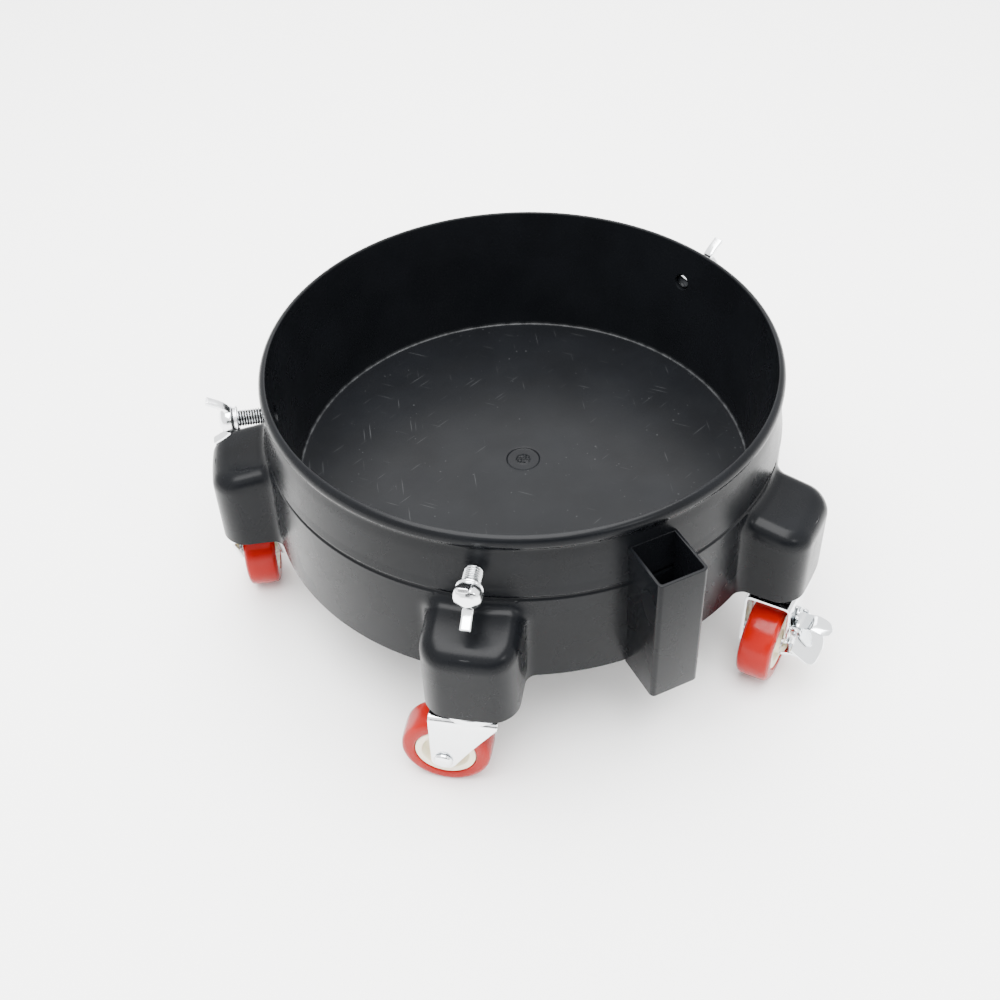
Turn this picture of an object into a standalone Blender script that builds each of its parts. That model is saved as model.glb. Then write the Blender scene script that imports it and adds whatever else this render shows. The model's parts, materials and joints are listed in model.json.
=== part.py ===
"""Five-castor dolly for a 20 litre drum or pail, as an assembly of separate named pieces.

Metres, +Z up, the ground at z = 0 and the tub's axis on the Z axis. The handle socket faces -Y.
Castors are named after their place on the tub: back, left, front_left, front_right and right.
"""

import math

import bmesh
import bpy
from mathutils import Matrix, Vector

MM = 0.001

# Driving dimensions.
RIM_RADIUS = 150.0 * MM           # outermost ring of the rolled rim
RIM_HEIGHT = 165.0 * MM           # height of that ring above the ground
WHEEL_RADIUS = 25.5 * MM
PITCH_RADIUS = 169.0 * MM         # radius on which the castors swivel
CASTOR_TRAIL = 16.0 * MM          # swivel axis to axle, level

# Tub: an inner cup inside an outer skirt, joined at the rim.
WALL = 2.5 * MM
RIM_CREST = RIM_HEIGHT + 4.8 * MM
MOUTH_RADIUS = RIM_RADIUS - 4.0 * MM
FLOOR_RADIUS = 136.9 * MM
FLOOR_TOP = 87.5 * MM
FLOOR_THICKNESS = 3.0 * MM
GROOVE_HEIGHT = 128.2 * MM
GROOVE_RADIUS = RIM_RADIUS + 2.2 * MM
SKIRT_BOTTOM = 68.5 * MM
SKIRT_RADIUS = RIM_RADIUS + 3.4 * MM
CAVITY_TOP = 139.0 * MM           # top of the gap between cup and skirt
GATE_RADIUS = 10.0 * MM           # shallow round recess left by the moulding gate
GATE_DEPTH = 0.8 * MM
TUB_SEGMENTS = 64

# Castor pods on the skirt.
POD_COUNT = 5
POD_OUTER = 184.5 * MM
POD_INNER = 151.6 * MM
POD_WIDTH = 52.5 * MM
POD_CORNER = 14.0 * MM
POD_BULGE = 1.5 * MM
POD_BOTTOM = 68.0 * MM
POD_TOP = 122.5 * MM              # where the top meets the skirt
POD_TOP_SLOPE = math.tan(math.radians(10.0))
POD_EDGE = 9.0 * MM               # radius of the top edge
POD_WALL = 3.0 * MM
BOSS_RADIUS = 14.5 * MM
INSERT_RADIUS = 8.0 * MM
INSERT_DEPTH = 21.0 * MM

# Handle socket.
SOCKET_WIDTH = 28.8 * MM
SOCKET_OUTER = 180.4 * MM
SOCKET_TOP = RIM_HEIGHT - 12.3 * MM
SOCKET_BOTTOM = 65.5 * MM
SOCKET_WALL = 1.8 * MM
SOCKET_CORNER = 2.6 * MM
SOCKET_FLOOR = 2.2 * MM
SOCKET_BACK = (151.8 * MM, 147.5 * MM)   # radius of its back at the bottom and the top, in the skirt
SOCKET_MOUTH = (154.6 * MM, 150.0 * MM)  # the same for the hollow inside it

# Wing screws, M10 coarse.
SCREW_HEIGHT = RIM_HEIGHT - 20.1 * MM
SCREW_RADIUS = 5.0 * MM
SCREW_TIP = 144.4 * MM            # radius of the screw's inner end, flush with the cup
SCREW_HEAD_AT = {"front_left": 160.5 * MM, "left": 164.5 * MM, "right": 162.5 * MM}
HUB_RADIUS = 8.0 * MM
HUB_LENGTH = 11.0 * MM
HEAD_DEPTH = 7.0 * MM             # how far the shank reaches into the head
WING_PATH = ((6.4, 5.0), (9.6, 6.2), (12.0, 9.4), (14.8, 16.0))   # mm from the axis, and outwards
WING_WIDTH = 6.0 * MM
WING_THICKNESS = 2.8 * MM

# Castor, from the pod down.
RACE_RADIUS = 17.0 * MM
RACE_THICKNESS = 3.4 * MM
RACE_LIP = 0.6 * MM               # the race's lip ends this far above the crown
PLATE = 1.8 * MM                  # sheet that the fork is pressed from
CROWN_TOP = 61.5 * MM
FORK_WIDTH = 28.0 * MM
FORK_FRONT = 15.0 * MM            # crown ahead of the swivel axis
FORK_BACK = 23.0 * MM             # crown behind it, over the wheel
KINGPIN_RADIUS = 5.0 * MM
FOOT_RADIUS = 7.6 * MM            # rounded end of a leg, about the axle
AXLE_RADIUS = 3.0 * MM
SLEEVE_RADIUS = 4.6 * MM          # steel tube on the axle that the wheel turns on
TYRE_WIDTH = 20.0 * MM
CORE_RADIUS = 17.2 * MM
WHEEL_SEGMENTS = 24

# Brake on one castor: a pressed pedal on a pin beside the fork leg.
BRAKED = "front_right"
BRAKE_AXIS = (17.4 * MM, 41.0 * MM)     # sideways from the fork's middle, and up
BRAKE_PIN_RADIUS = 1.5 * MM
PEDAL_SHEET = 1.6 * MM
PEDAL_BARREL = 3.0 * MM
PEDAL_SPAN = (3.8 * MM, 18.0 * MM, 33.0 * MM)   # near end, far end and the lower tab's far end
BRAKE_EARS = (1.6 * MM, 18.4 * MM)              # where the two ears start along the trail
BRAKE_EAR_HALF = 3.4 * MM

GAP = 0.3 * MM                    # clearance between touching pieces

CASTOR_AZIMUTH = {
    name: 90.0 + index * 360.0 / POD_COUNT
    for index, name in enumerate(("back", "left", "front_left", "front_right", "right"))
}
# Every wheel trails sideways: a quarter turn clockwise from its pod's outward direction.
CASTOR_HEADING = -90.0

# Materials: linear base colour, roughness, metallic.
FINISHES = {
    "black_plastic": ((0.022, 0.023, 0.025), 0.42, 0.0),
    "bright_zinc": ((0.78, 0.79, 0.80), 0.18, 1.0),
    "dull_zinc": ((0.62, 0.63, 0.64), 0.32, 1.0),
    "brass": ((0.72, 0.52, 0.24), 0.30, 1.0),
    "red_polyurethane": ((0.62, 0.022, 0.012), 0.22, 0.0),
    "cream_nylon": ((0.76, 0.72, 0.60), 0.40, 0.0),
}


def clear_scene():
    """Remove every object that is already in the file."""
    for item in list(bpy.data.objects):
        bpy.data.objects.remove(item, do_unlink=True)


def finish(name):
    """Principled material of the named finish, made once."""
    found = bpy.data.materials.get(name)
    if found:
        return found
    colour, roughness, metallic = FINISHES[name]
    material = bpy.data.materials.new(name)
    material.use_nodes = True
    shader = material.node_tree.nodes["Principled BSDF"]
    shader.inputs["Base Color"].default_value = (*colour, 1.0)
    shader.inputs["Roughness"].default_value = roughness
    shader.inputs["Metallic"].default_value = metallic
    return material


def add_object(name, mesh_data, finish_name, place=None):
    """Turn a bmesh into a named, shaded object at the given place."""
    bmesh.ops.recalc_face_normals(mesh_data, faces=mesh_data.faces)
    mesh = bpy.data.meshes.new(name)
    mesh_data.to_mesh(mesh)
    mesh_data.free()
    mesh.shade_smooth()
    mesh.set_sharp_from_angle(angle=math.radians(35.0))
    mesh.materials.append(finish(finish_name))
    item = bpy.data.objects.new(name, mesh)
    bpy.context.scene.collection.objects.link(item)
    item.matrix_world = place or Matrix.Identity(4)
    return item


def add_cutter(name, mesh_data):
    """An object that only shapes another one."""
    item = add_object(name, mesh_data, "black_plastic")
    item.hide_render = True
    item.display_type = "WIRE"
    return item


def boolean(item, operation, tool):
    """Shape an object with a cutter by an exact Boolean."""
    step = item.modifiers.new(f"{operation.lower()}_{tool.name}", "BOOLEAN")
    step.operation = operation
    step.solver = "EXACT"
    step.object = tool


def revolve(profile, segments, mesh_data=None, place=None):
    """Turn a profile of (radius, height) points about Z.

    A profile that starts and ends on the axis makes a solid, any other one makes a closed ring.
    """
    work = mesh_data or bmesh.new()
    frame = place or Matrix.Identity(4)
    on_axis = profile[0][0] == 0.0
    rings = []
    for radius, height in profile:
        count = 1 if radius == 0.0 else segments
        turn = [2.0 * math.pi * step / segments for step in range(count)]
        rings.append([
            work.verts.new(frame @ Vector((radius * math.cos(a), radius * math.sin(a), height)))
            for a in turn
        ])
    pairs = list(zip(rings, rings[1:]))
    if not on_axis:
        pairs.append((rings[-1], rings[0]))
    for lower, upper in pairs:
        for step in range(segments):
            after = (step + 1) % segments
            corners = [
                lower[step % len(lower)], lower[after % len(lower)],
                upper[after % len(upper)], upper[step % len(upper)],
            ]
            work.faces.new(list(dict.fromkeys(corners)))
    return work


def cylinder(radius, bottom, top, segments, mesh_data=None, place=None):
    """A plain round bar along Z."""
    profile = [(0.0, bottom), (radius, bottom), (radius, top), (0.0, top)]
    return revolve(profile, segments, mesh_data, place)


def loft(rings, mesh_data=None):
    """A closed solid through rings of equal numbers of points, flat at both ends."""
    work = mesh_data or bmesh.new()
    made = [[work.verts.new(point) for point in ring] for ring in rings]
    for lower, upper in zip(made, made[1:]):
        for step in range(len(lower)):
            after = (step + 1) % len(lower)
            work.faces.new([lower[step], lower[after], upper[after], upper[step]])
    work.faces.new(made[0])
    work.faces.new(made[-1])
    return work


def around(azimuth):
    """Frame whose X points outwards at the given azimuth, in degrees."""
    return Matrix.Rotation(math.radians(azimuth), 4, "Z")


def arc(centre, radius, start, end, steps):
    """Points of an arc in a plane, its angles in degrees."""
    angles = [math.radians(start + (end - start) * i / steps) for i in range(steps + 1)]
    return [(centre[0] + radius * math.cos(a), centre[1] + radius * math.sin(a)) for a in angles]


# --- Tub -----------------------------------------------------------------------------------

def cup_radius(height):
    """Inner radius of the cup, which widens evenly from the floor to the mouth."""
    share = (height - FLOOR_TOP) / (RIM_CREST - FLOOR_TOP)
    return FLOOR_RADIUS + (MOUTH_RADIUS - FLOOR_RADIUS) * share


def tub_profile():
    """Outline of the tub's wall, from the axis over the rim and back under the floor."""
    floor_bottom = FLOOR_TOP - FLOOR_THICKNESS
    inside = [
        (0.0, FLOOR_TOP - GATE_DEPTH),
        (GATE_RADIUS - 0.6 * MM, FLOOR_TOP - GATE_DEPTH),
        (GATE_RADIUS, FLOOR_TOP),
        (FLOOR_RADIUS - 2.5 * MM, FLOOR_TOP),
        (cup_radius(FLOOR_TOP + 2.0 * MM), FLOOR_TOP + 2.0 * MM),
        (cup_radius(RIM_CREST - 1.5 * MM), RIM_CREST - 1.5 * MM),
    ]
    bead = [
        (MOUTH_RADIUS + 1.4 * MM, RIM_CREST),
        (RIM_RADIUS - 1.4 * MM, RIM_CREST - 0.9 * MM),
        (RIM_RADIUS, RIM_CREST - 3.4 * MM),
        (RIM_RADIUS, RIM_HEIGHT - 1.0 * MM),
        (RIM_RADIUS - 1.2 * MM, RIM_HEIGHT - 3.2 * MM),
    ]
    groove = [
        (GROOVE_RADIUS, GROOVE_HEIGHT + 0.8 * MM),
        (GROOVE_RADIUS - 1.2 * MM, GROOVE_HEIGHT),
        (GROOVE_RADIUS - 0.4 * MM, GROOVE_HEIGHT - 1.0 * MM),
    ]
    underside = [
        (SKIRT_RADIUS, SKIRT_BOTTOM),
        (SKIRT_RADIUS - WALL, SKIRT_BOTTOM),
        (GROOVE_RADIUS - 1.2 * MM - WALL, GROOVE_HEIGHT),
        (cup_radius(CAVITY_TOP) + WALL + 2.2 * MM, CAVITY_TOP),
        (cup_radius(CAVITY_TOP) + WALL, CAVITY_TOP),
        (cup_radius(floor_bottom) + WALL, floor_bottom),
        (0.0, floor_bottom),
    ]
    return inside + bead + groove + underside


def pod_outline(inset, steps=3):
    """Plan of a pod, pulled in all round by the inset; X points outwards."""
    half = POD_WIDTH / 2.0 - inset
    corner = max(POD_CORNER - inset, 4.0 * MM)
    nose = POD_OUTER - inset
    points = [(POD_INNER, -half)]
    points += arc((nose - corner, -half + corner), corner, -90.0, 0.0, steps)
    points += arc((nose - corner, half - corner), corner, 0.0, 90.0, steps)
    points.append((POD_INNER, half))
    return [(x + pod_bulge(x, y), y) for x, y in points]


def pod_bulge(x, y):
    """The nose of a pod is slightly rounded in plan."""
    reach = (x - POD_INNER) / (POD_OUTER - POD_INNER)
    across = 2.0 * y / POD_WIDTH
    return POD_BULGE * max(reach, 0.0) ** 3 * (1.0 - across * across)


def pod_top(x, drop):
    """Height of the pod's top surface, which falls gently outwards."""
    return POD_TOP - drop - POD_TOP_SLOPE * (x - POD_INNER)


def pod_rings(place, wall, bottom, edge_steps=3):
    """Rings of a pod, or of the hollow inside it when a wall thickness is given.

    The hollow stops short of the skirt, which stays whole behind it.
    """
    rings = [[(x, y, bottom) for x, y in pod_outline(wall)]]
    edge = POD_EDGE - wall
    for step in range(edge_steps + 1):
        turn = 0.5 * math.pi * step / edge_steps
        inset = wall + edge * (1.0 - math.cos(turn))
        drop = wall + edge * (1.0 - math.sin(turn))
        rings.append([(x, y, pod_top(x, drop)) for x, y in pod_outline(inset)])
    innermost = POD_INNER + 1.5 * wall
    return [
        [place @ Vector((max(x, innermost), y, z)) for x, y, z in ring]
        for ring in rings
    ]


def socket_block(inset, back, bottom, top, mesh_data):
    """Four-sided block for the handle socket, its back following the skirt's slope."""
    half = SOCKET_WIDTH / 2.0 - inset
    outer = SOCKET_OUTER - inset
    corner = SOCKET_CORNER - inset
    place = around(-90.0)

    def ring(inner, height):
        points = [(inner, -half)]
        points += arc((outer - corner, -half + corner), corner, -90.0, 0.0, 3)
        points += arc((outer - corner, half - corner), corner, 0.0, 90.0, 3)
        points.append((inner, half))
        return [place @ Vector((x, y, height)) for x, y in points]

    return loft([ring(back[0], bottom), ring(back[1], top)], mesh_data)


def radial_frame(azimuth, radius, height):
    """Frame whose Z points straight at the tub's axis, for the wing screws."""
    turn = Matrix.Rotation(math.radians(-90.0), 4, "Y")
    return around(azimuth) @ Matrix.Translation((radius, 0.0, height)) @ turn


def make_tub():
    """Moulded tub with its pods, bosses, handle socket and screw holes."""
    tub = add_object("tub", revolve(tub_profile(), TUB_SEGMENTS), "black_plastic")

    outside = bmesh.new()
    hollows = bmesh.new()
    bosses = bmesh.new()
    bores = bmesh.new()
    for azimuth in CASTOR_AZIMUTH.values():
        place = around(azimuth)
        swivel = place @ Matrix.Translation((PITCH_RADIUS, 0.0, 0.0))
        loft(pod_rings(place, 0.0, POD_BOTTOM), outside)
        loft(pod_rings(place, POD_WALL, POD_BOTTOM - 2.0 * MM), hollows)
        cylinder(BOSS_RADIUS, POD_BOTTOM + 0.2 * MM, POD_TOP - 9.0 * MM, 20, bosses, swivel)
        bore_top = POD_BOTTOM + INSERT_DEPTH + 2.0 * GAP
        cylinder(INSERT_RADIUS + GAP, POD_BOTTOM - 2.0 * MM, bore_top, 16, bores, swivel)
    socket_block(0.0, SOCKET_BACK, SOCKET_BOTTOM, SOCKET_TOP, outside)
    hollow_bottom = SOCKET_BOTTOM + SOCKET_FLOOR
    socket_block(SOCKET_WALL, SOCKET_MOUTH, hollow_bottom, SOCKET_TOP + 4.0 * MM, hollows)
    for name in SCREW_HEAD_AT:
        inwards = radial_frame(CASTOR_AZIMUTH[name], 157.0 * MM, SCREW_HEIGHT)
        cylinder(SCREW_RADIUS + 0.25 * MM, 0.0, 18.0 * MM, 12, hollows, inwards)

    boolean(tub, "UNION", add_cutter("pod_blocks", outside))
    boolean(tub, "DIFFERENCE", add_cutter("pod_hollows", hollows))
    boolean(tub, "UNION", add_cutter("pod_bosses", bosses))
    boolean(tub, "DIFFERENCE", add_cutter("insert_bores", bores))


# --- Castors ---------------------------------------------------------------------------------

def swivel_frame(name):
    """Frame on a castor's swivel axis at the ground, X along the trail, Y along the axle."""
    azimuth = CASTOR_AZIMUTH[name]
    heading = math.radians(azimuth + CASTOR_HEADING)
    at = around(azimuth) @ Vector((PITCH_RADIUS, 0.0, 0.0))
    return Matrix.Translation(at) @ Matrix.Rotation(heading, 4, "Z")


def axle_frame(name):
    """Frame at the middle of a castor's axle, Z along the axle."""
    return swivel_frame(name) @ across_fork()


def race_bottom():
    """Underside of the fixed race."""
    return POD_BOTTOM - GAP - RACE_THICKNESS


def make_kingpin(name):
    """Pin fixed in the pod: threaded above, plain through the race and crown, peened below."""
    head_top = CROWN_TOP - PLATE - GAP
    head_bottom = head_top - 3.0 * MM
    top = POD_BOTTOM + INSERT_DEPTH - 1.5 * MM
    profile = [
        (0.0, head_bottom),
        (5.0 * MM, head_bottom),
        (7.2 * MM, head_bottom + 1.2 * MM),
        (7.2 * MM, head_top),
        (KINGPIN_RADIUS, head_top),
        (KINGPIN_RADIUS, top - 1.0 * MM),
        (KINGPIN_RADIUS - 1.0 * MM, top),
        (0.0, top),
    ]
    add_object(f"{name}_castor_kingpin", revolve(profile, 12), "dull_zinc", swivel_frame(name))


def make_insert(name):
    """Threaded insert moulded into the pod's boss."""
    bottom = POD_BOTTOM + 0.5 * MM
    top = POD_BOTTOM + INSERT_DEPTH
    bore = KINGPIN_RADIUS + GAP
    profile = [(bore, bottom), (INSERT_RADIUS, bottom), (INSERT_RADIUS, top), (bore, top)]
    add_object(f"{name}_castor_insert", revolve(profile, 12), "brass", swivel_frame(name))


def make_race(name):
    """Fixed upper race, a pressed dish under the pod, whose lip comes down round the balls."""
    top = POD_BOTTOM - GAP
    bottom = race_bottom()
    lip = CROWN_TOP + RACE_LIP
    bore = KINGPIN_RADIUS + GAP
    profile = [
        (bore, bottom),
        (RACE_RADIUS - 2.6 * MM, bottom),
        (RACE_RADIUS - 1.4 * MM, lip),
        (RACE_RADIUS, lip),
        (RACE_RADIUS, top - 0.8 * MM),
        (RACE_RADIUS - 0.8 * MM, top),
        (bore, top),
    ]
    add_object(f"{name}_castor_race", revolve(profile, 16), "bright_zinc", swivel_frame(name))


def make_ball_ring(name):
    """Ring of balls between the race and the fork's crown, as one ring."""
    top = race_bottom() - GAP
    bottom = CROWN_TOP + GAP
    middle = 11.0 * MM
    half = 2.0 * MM
    profile = [
        (middle - half, bottom),
        (middle + half, bottom),
        (middle + half, top),
        (middle - half, top),
    ]
    add_object(f"{name}_castor_ball_ring", revolve(profile, 16), "dull_zinc", swivel_frame(name))


def fork_outline():
    """Side view of the fork: a level crown, and legs that narrow to the axle.

    The leading edge slants down to touch the rounded foot, the trailing edge is upright.
    """
    slant_top = CROWN_TOP - 3.5 * MM
    across = CASTOR_TRAIL + FORK_FRONT
    down = slant_top - WHEEL_RADIUS
    touch = math.atan2(down, across) + math.asin(FOOT_RADIUS / math.hypot(across, down)) + math.pi / 2.0
    points = [
        (-FORK_FRONT, slant_top),
        (-FORK_FRONT, CROWN_TOP - 1.0 * MM),
        (-FORK_FRONT + 1.0 * MM, CROWN_TOP),
        (FORK_BACK - 1.0 * MM, CROWN_TOP),
        (FORK_BACK, CROWN_TOP - 1.0 * MM),
    ]
    points += arc((CASTOR_TRAIL, WHEEL_RADIUS), FOOT_RADIUS, 0.0, -math.degrees(touch), 8)
    return points


def block(low, high, mesh_data=None):
    """A box from its lowest to its highest corner."""
    ring = [(low[0], low[1]), (high[0], low[1]), (high[0], high[1]), (low[0], high[1])]
    return loft([[(x, y, z) for x, y in ring] for z in (low[2], high[2])], mesh_data)


def extrude_side(outline, side_from, side_to, mesh_data=None):
    """A side view (X, Z) pushed along Y."""
    return loft([[(x, y, z) for x, z in outline] for y in (side_from, side_to)], mesh_data)


def across_fork():
    """Frame at the axle, in the swivel frame, Z along the axle."""
    lift = Matrix.Translation((CASTOR_TRAIL, 0.0, WHEEL_RADIUS))
    return lift @ Matrix.Rotation(math.radians(-90.0), 4, "X")


def make_fork(name):
    """Pressed fork: a channel with a kingpin hole and two axle holes."""
    half = FORK_WIDTH / 2.0
    place = swivel_frame(name)
    side_view = extrude_side(fork_outline(), -half, half)
    fork = add_object(f"{name}_castor_fork", side_view, "bright_zinc", place)
    inside = block(
        (-FORK_FRONT - 5.0 * MM, -half + PLATE, -5.0 * MM),
        (FORK_BACK + 5.0 * MM, half - PLATE, CROWN_TOP - PLATE),
    )
    holes = cylinder(KINGPIN_RADIUS + GAP, CROWN_TOP - 6.0 * MM, CROWN_TOP + 3.0 * MM, 12)
    cylinder(AXLE_RADIUS + 0.25 * MM, -half - 5.0 * MM, half + 5.0 * MM, 12, holes, across_fork())
    for cutter_name, cutter in (("channel", inside), ("holes", holes)):
        tool = add_cutter(f"{name}_fork_{cutter_name}", cutter)
        tool.matrix_world = place
        boolean(fork, "DIFFERENCE", tool)
    if name == BRAKED:
        add_brake_ears(fork, place)


def make_axle(name):
    """Riveted axle: a domed head on the castor's outer side, and a low peened end inside."""
    leg = FORK_WIDTH / 2.0 + GAP
    profile = [
        (0.0, -leg - 0.9 * MM),
        (3.4 * MM, -leg - 0.9 * MM),
        (4.2 * MM, -leg),
        (AXLE_RADIUS, -leg),
        (AXLE_RADIUS, leg),
        (5.4 * MM, leg),
        (5.4 * MM, leg + 0.9 * MM),
        (3.6 * MM, leg + 2.3 * MM),
        (0.0, leg + 2.7 * MM),
    ]
    add_object(f"{name}_castor_axle", revolve(profile, 12), "bright_zinc", axle_frame(name))


def make_axle_sleeve(name):
    """Steel tube that keeps the legs apart; the wheel turns on it."""
    end = FORK_WIDTH / 2.0 - PLATE - GAP
    bore = AXLE_RADIUS + GAP
    profile = [(bore, -end), (SLEEVE_RADIUS, -end), (SLEEVE_RADIUS, end), (bore, end)]
    sleeve = revolve(profile, WHEEL_SEGMENTS)
    add_object(f"{name}_castor_axle_sleeve", sleeve, "dull_zinc", axle_frame(name))


def make_core(name):
    """Nylon wheel core: a hub, a thin web and an outer ring that carries the tyre."""
    hub = 10.4 * MM
    web = 3.4 * MM
    ring = TYRE_WIDTH / 2.0 - 0.7 * MM
    side = [
        (SLEEVE_RADIUS + GAP, hub),
        (7.2 * MM, hub),
        (8.2 * MM, web),
        (13.2 * MM, ring),
        (CORE_RADIUS, ring),
    ]
    profile = [(radius, -height) for radius, height in side] + side[::-1]
    core = revolve(profile, WHEEL_SEGMENTS)
    add_object(f"{name}_castor_core", core, "cream_nylon", axle_frame(name))


def make_tyre(name):
    """Polyurethane tyre with a softly crowned tread."""
    half = TYRE_WIDTH / 2.0
    side = [
        (CORE_RADIUS + GAP, half),
        (WHEEL_RADIUS - 2.6 * MM, half),
        (WHEEL_RADIUS - 0.6 * MM, half - 2.0 * MM),
        (WHEEL_RADIUS, half - 5.0 * MM),
    ]
    profile = [(radius, -height) for radius, height in side] + side[::-1]
    tyre = revolve(profile, WHEEL_SEGMENTS)
    add_object(f"{name}_castor_tyre", tyre, "red_polyurethane", axle_frame(name))


# --- Brake -----------------------------------------------------------------------------------

def brake_frame():
    """Along the brake pin: Z points along the trail, from the swivel axis's plane."""
    across, up = BRAKE_AXIS
    return Matrix.Translation((0.0, across, up)) @ Matrix.Rotation(math.radians(90.0), 4, "Y")


def add_brake_ears(fork, place):
    """Two ears on the fork's outer leg that hold the brake pin."""
    across, up = BRAKE_AXIS
    ears = bmesh.new()
    for start in BRAKE_EARS:
        low = (start, FORK_WIDTH / 2.0 - 1.0 * MM, up - BRAKE_EAR_HALF)
        high = (start + PLATE, across + BRAKE_EAR_HALF, up + BRAKE_EAR_HALF)
        block(low, high, ears)
    holes = cylinder(BRAKE_PIN_RADIUS + 0.25 * MM, -1.0 * MM, 24.0 * MM, 12, None, brake_frame())
    for label, operation, shape in (("ears", "UNION", ears), ("pin_holes", "DIFFERENCE", holes)):
        tool = add_cutter(f"{BRAKED}_fork_{label}", shape)
        tool.matrix_world = place
        boolean(fork, operation, tool)


def strip(points, thickness, along_from, along_to, mesh_data):
    """Sheet of even thickness that follows points (Y, Z), pushed along X."""
    path = [Vector(point) for point in points]
    sides = []
    for index, point in enumerate(path):
        ahead = path[min(index + 1, len(path) - 1)] - path[max(index - 1, 0)]
        normal = Vector((-ahead.y, ahead.x)).normalized() * thickness / 2.0
        sides.append((point + normal, point - normal))
    ring = [pair[0] for pair in sides] + [pair[1] for pair in reversed(sides)]
    return loft([[(x, p.x, p.y) for p in ring] for x in (along_from, along_to)], mesh_data)


def make_brake():
    """Brake pedal and its pin, on the braked castor."""
    across, up = BRAKE_AXIS
    place = swivel_frame(BRAKED)
    near, far, end = PEDAL_SPAN
    pin_ends = (BRAKE_EARS[0] - 1.0 * MM, BRAKE_EARS[1] + PLATE + 1.0 * MM)
    pin = cylinder(BRAKE_PIN_RADIUS, *pin_ends, 12, None, brake_frame())
    add_object(f"{BRAKED}_brake_pin", pin, "dull_zinc", place)

    barrel = cylinder(PEDAL_BARREL, near, far, 12, None, brake_frame())
    pedal = add_object(f"{BRAKED}_brake_pedal", barrel, "bright_zinc", place)
    # Each leaf of the pedal: its path in mm sideways and up from the pin, and where it starts and ends.
    leaves = (
        ("upper_tab", ((2.0, 1.4), (9.0, 3.4), (18.6, 1.6)), near + 1.0 * MM, far - 1.5 * MM),
        ("lower_root", ((2.0, -1.2), (8.0, -5.0)), near + 1.4 * MM, far - 0.4 * MM),
        ("lower_tab", ((5.4, -3.3), (8.0, -5.0), (15.5, -10.0)), near + 1.4 * MM, end),
        ("lever", ((-0.6, 1.8), (-1.6, 11.5)), near + 2.0 * MM, far - 3.0 * MM),
        ("shoe", ((6.4, -3.9), (-1.0, -4.6), (-5.0, -7.5)), end - 8.6 * MM, end - 0.4 * MM),
    )
    for label, points, start, stop in leaves:
        path = [(across + side * MM, up + rise * MM) for side, rise in points]
        tool = add_cutter(f"pedal_{label}", strip(path, PEDAL_SHEET, start, stop, bmesh.new()))
        tool.matrix_world = place
        boolean(pedal, "UNION", tool)
    hole = cylinder(BRAKE_PIN_RADIUS + GAP, near - 3.8 * MM, far + 6.0 * MM, 12, None, brake_frame())
    bore = add_cutter("pedal_bore", hole)
    bore.matrix_world = place
    boolean(pedal, "DIFFERENCE", bore)


# --- Wing screws -----------------------------------------------------------------------------

def make_wing_screw(name, head_at):
    """Screw of one clamp: its shank, and the cast wing head around the shank's outer end."""
    place = radial_frame(CASTOR_AZIMUTH[name], head_at, SCREW_HEIGHT)
    tip = head_at - SCREW_TIP
    bevel = 1.2 * MM
    shank = [
        (0.0, -HEAD_DEPTH),
        (SCREW_RADIUS, -HEAD_DEPTH),
        (SCREW_RADIUS, tip - bevel),
        (SCREW_RADIUS - bevel, tip),
        (0.0, tip),
    ]
    add_object(f"{name}_screw_shank", revolve(shank, 12), "bright_zinc", place)

    bore = SCREW_RADIUS + GAP
    hub = [
        (0.0, -HUB_LENGTH),
        (3.5 * MM, -HUB_LENGTH),
        (6.4 * MM, -HUB_LENGTH + 2.0 * MM),
        (HUB_RADIUS - 0.4 * MM, -HUB_LENGTH + 5.2 * MM),
        (HUB_RADIUS - 0.6 * MM, -2.4 * MM),
        (HUB_RADIUS - 0.3 * MM, 0.0),
        (bore, 0.0),
        (bore, -HEAD_DEPTH - GAP),
        (0.0, -HEAD_DEPTH - GAP),
    ]
    head = add_object(f"{name}_screw_wing", revolve(hub, 16), "bright_zinc", place)
    wings = bmesh.new()
    for side in (1.0, -1.0):
        path = [(side * out * MM, -back * MM) for out, back in WING_PATH]
        strip(path, WING_THICKNESS, -WING_WIDTH / 2.0, WING_WIDTH / 2.0, wings)
    upright = Matrix.Rotation(math.radians(90.0), 4, "Z")
    bmesh.ops.transform(wings, matrix=upright, verts=wings.verts)
    tool = add_cutter(f"{name}_screw_wings", wings)
    tool.matrix_world = place
    boolean(head, "UNION", tool)


def main():
    clear_scene()
    make_tub()
    for name in CASTOR_AZIMUTH:
        make_kingpin(name)
        make_insert(name)
        make_race(name)
        make_ball_ring(name)
        make_fork(name)
        make_axle(name)
        make_axle_sleeve(name)
        make_core(name)
        make_tyre(name)
    make_brake()
    for name, head_at in SCREW_HEAD_AT.items():
        make_wing_screw(name, head_at)


main()
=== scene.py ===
"""Fine surfaces, finishes and stage for a five-castor drum dolly, laid out as a Blender add-on.

Metres, +Z up, the ground at z = 0 and the tub's axis on the Z axis. The handle socket faces -Y.
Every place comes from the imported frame: castors and screws stand on the frame's joints.
"""

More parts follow.
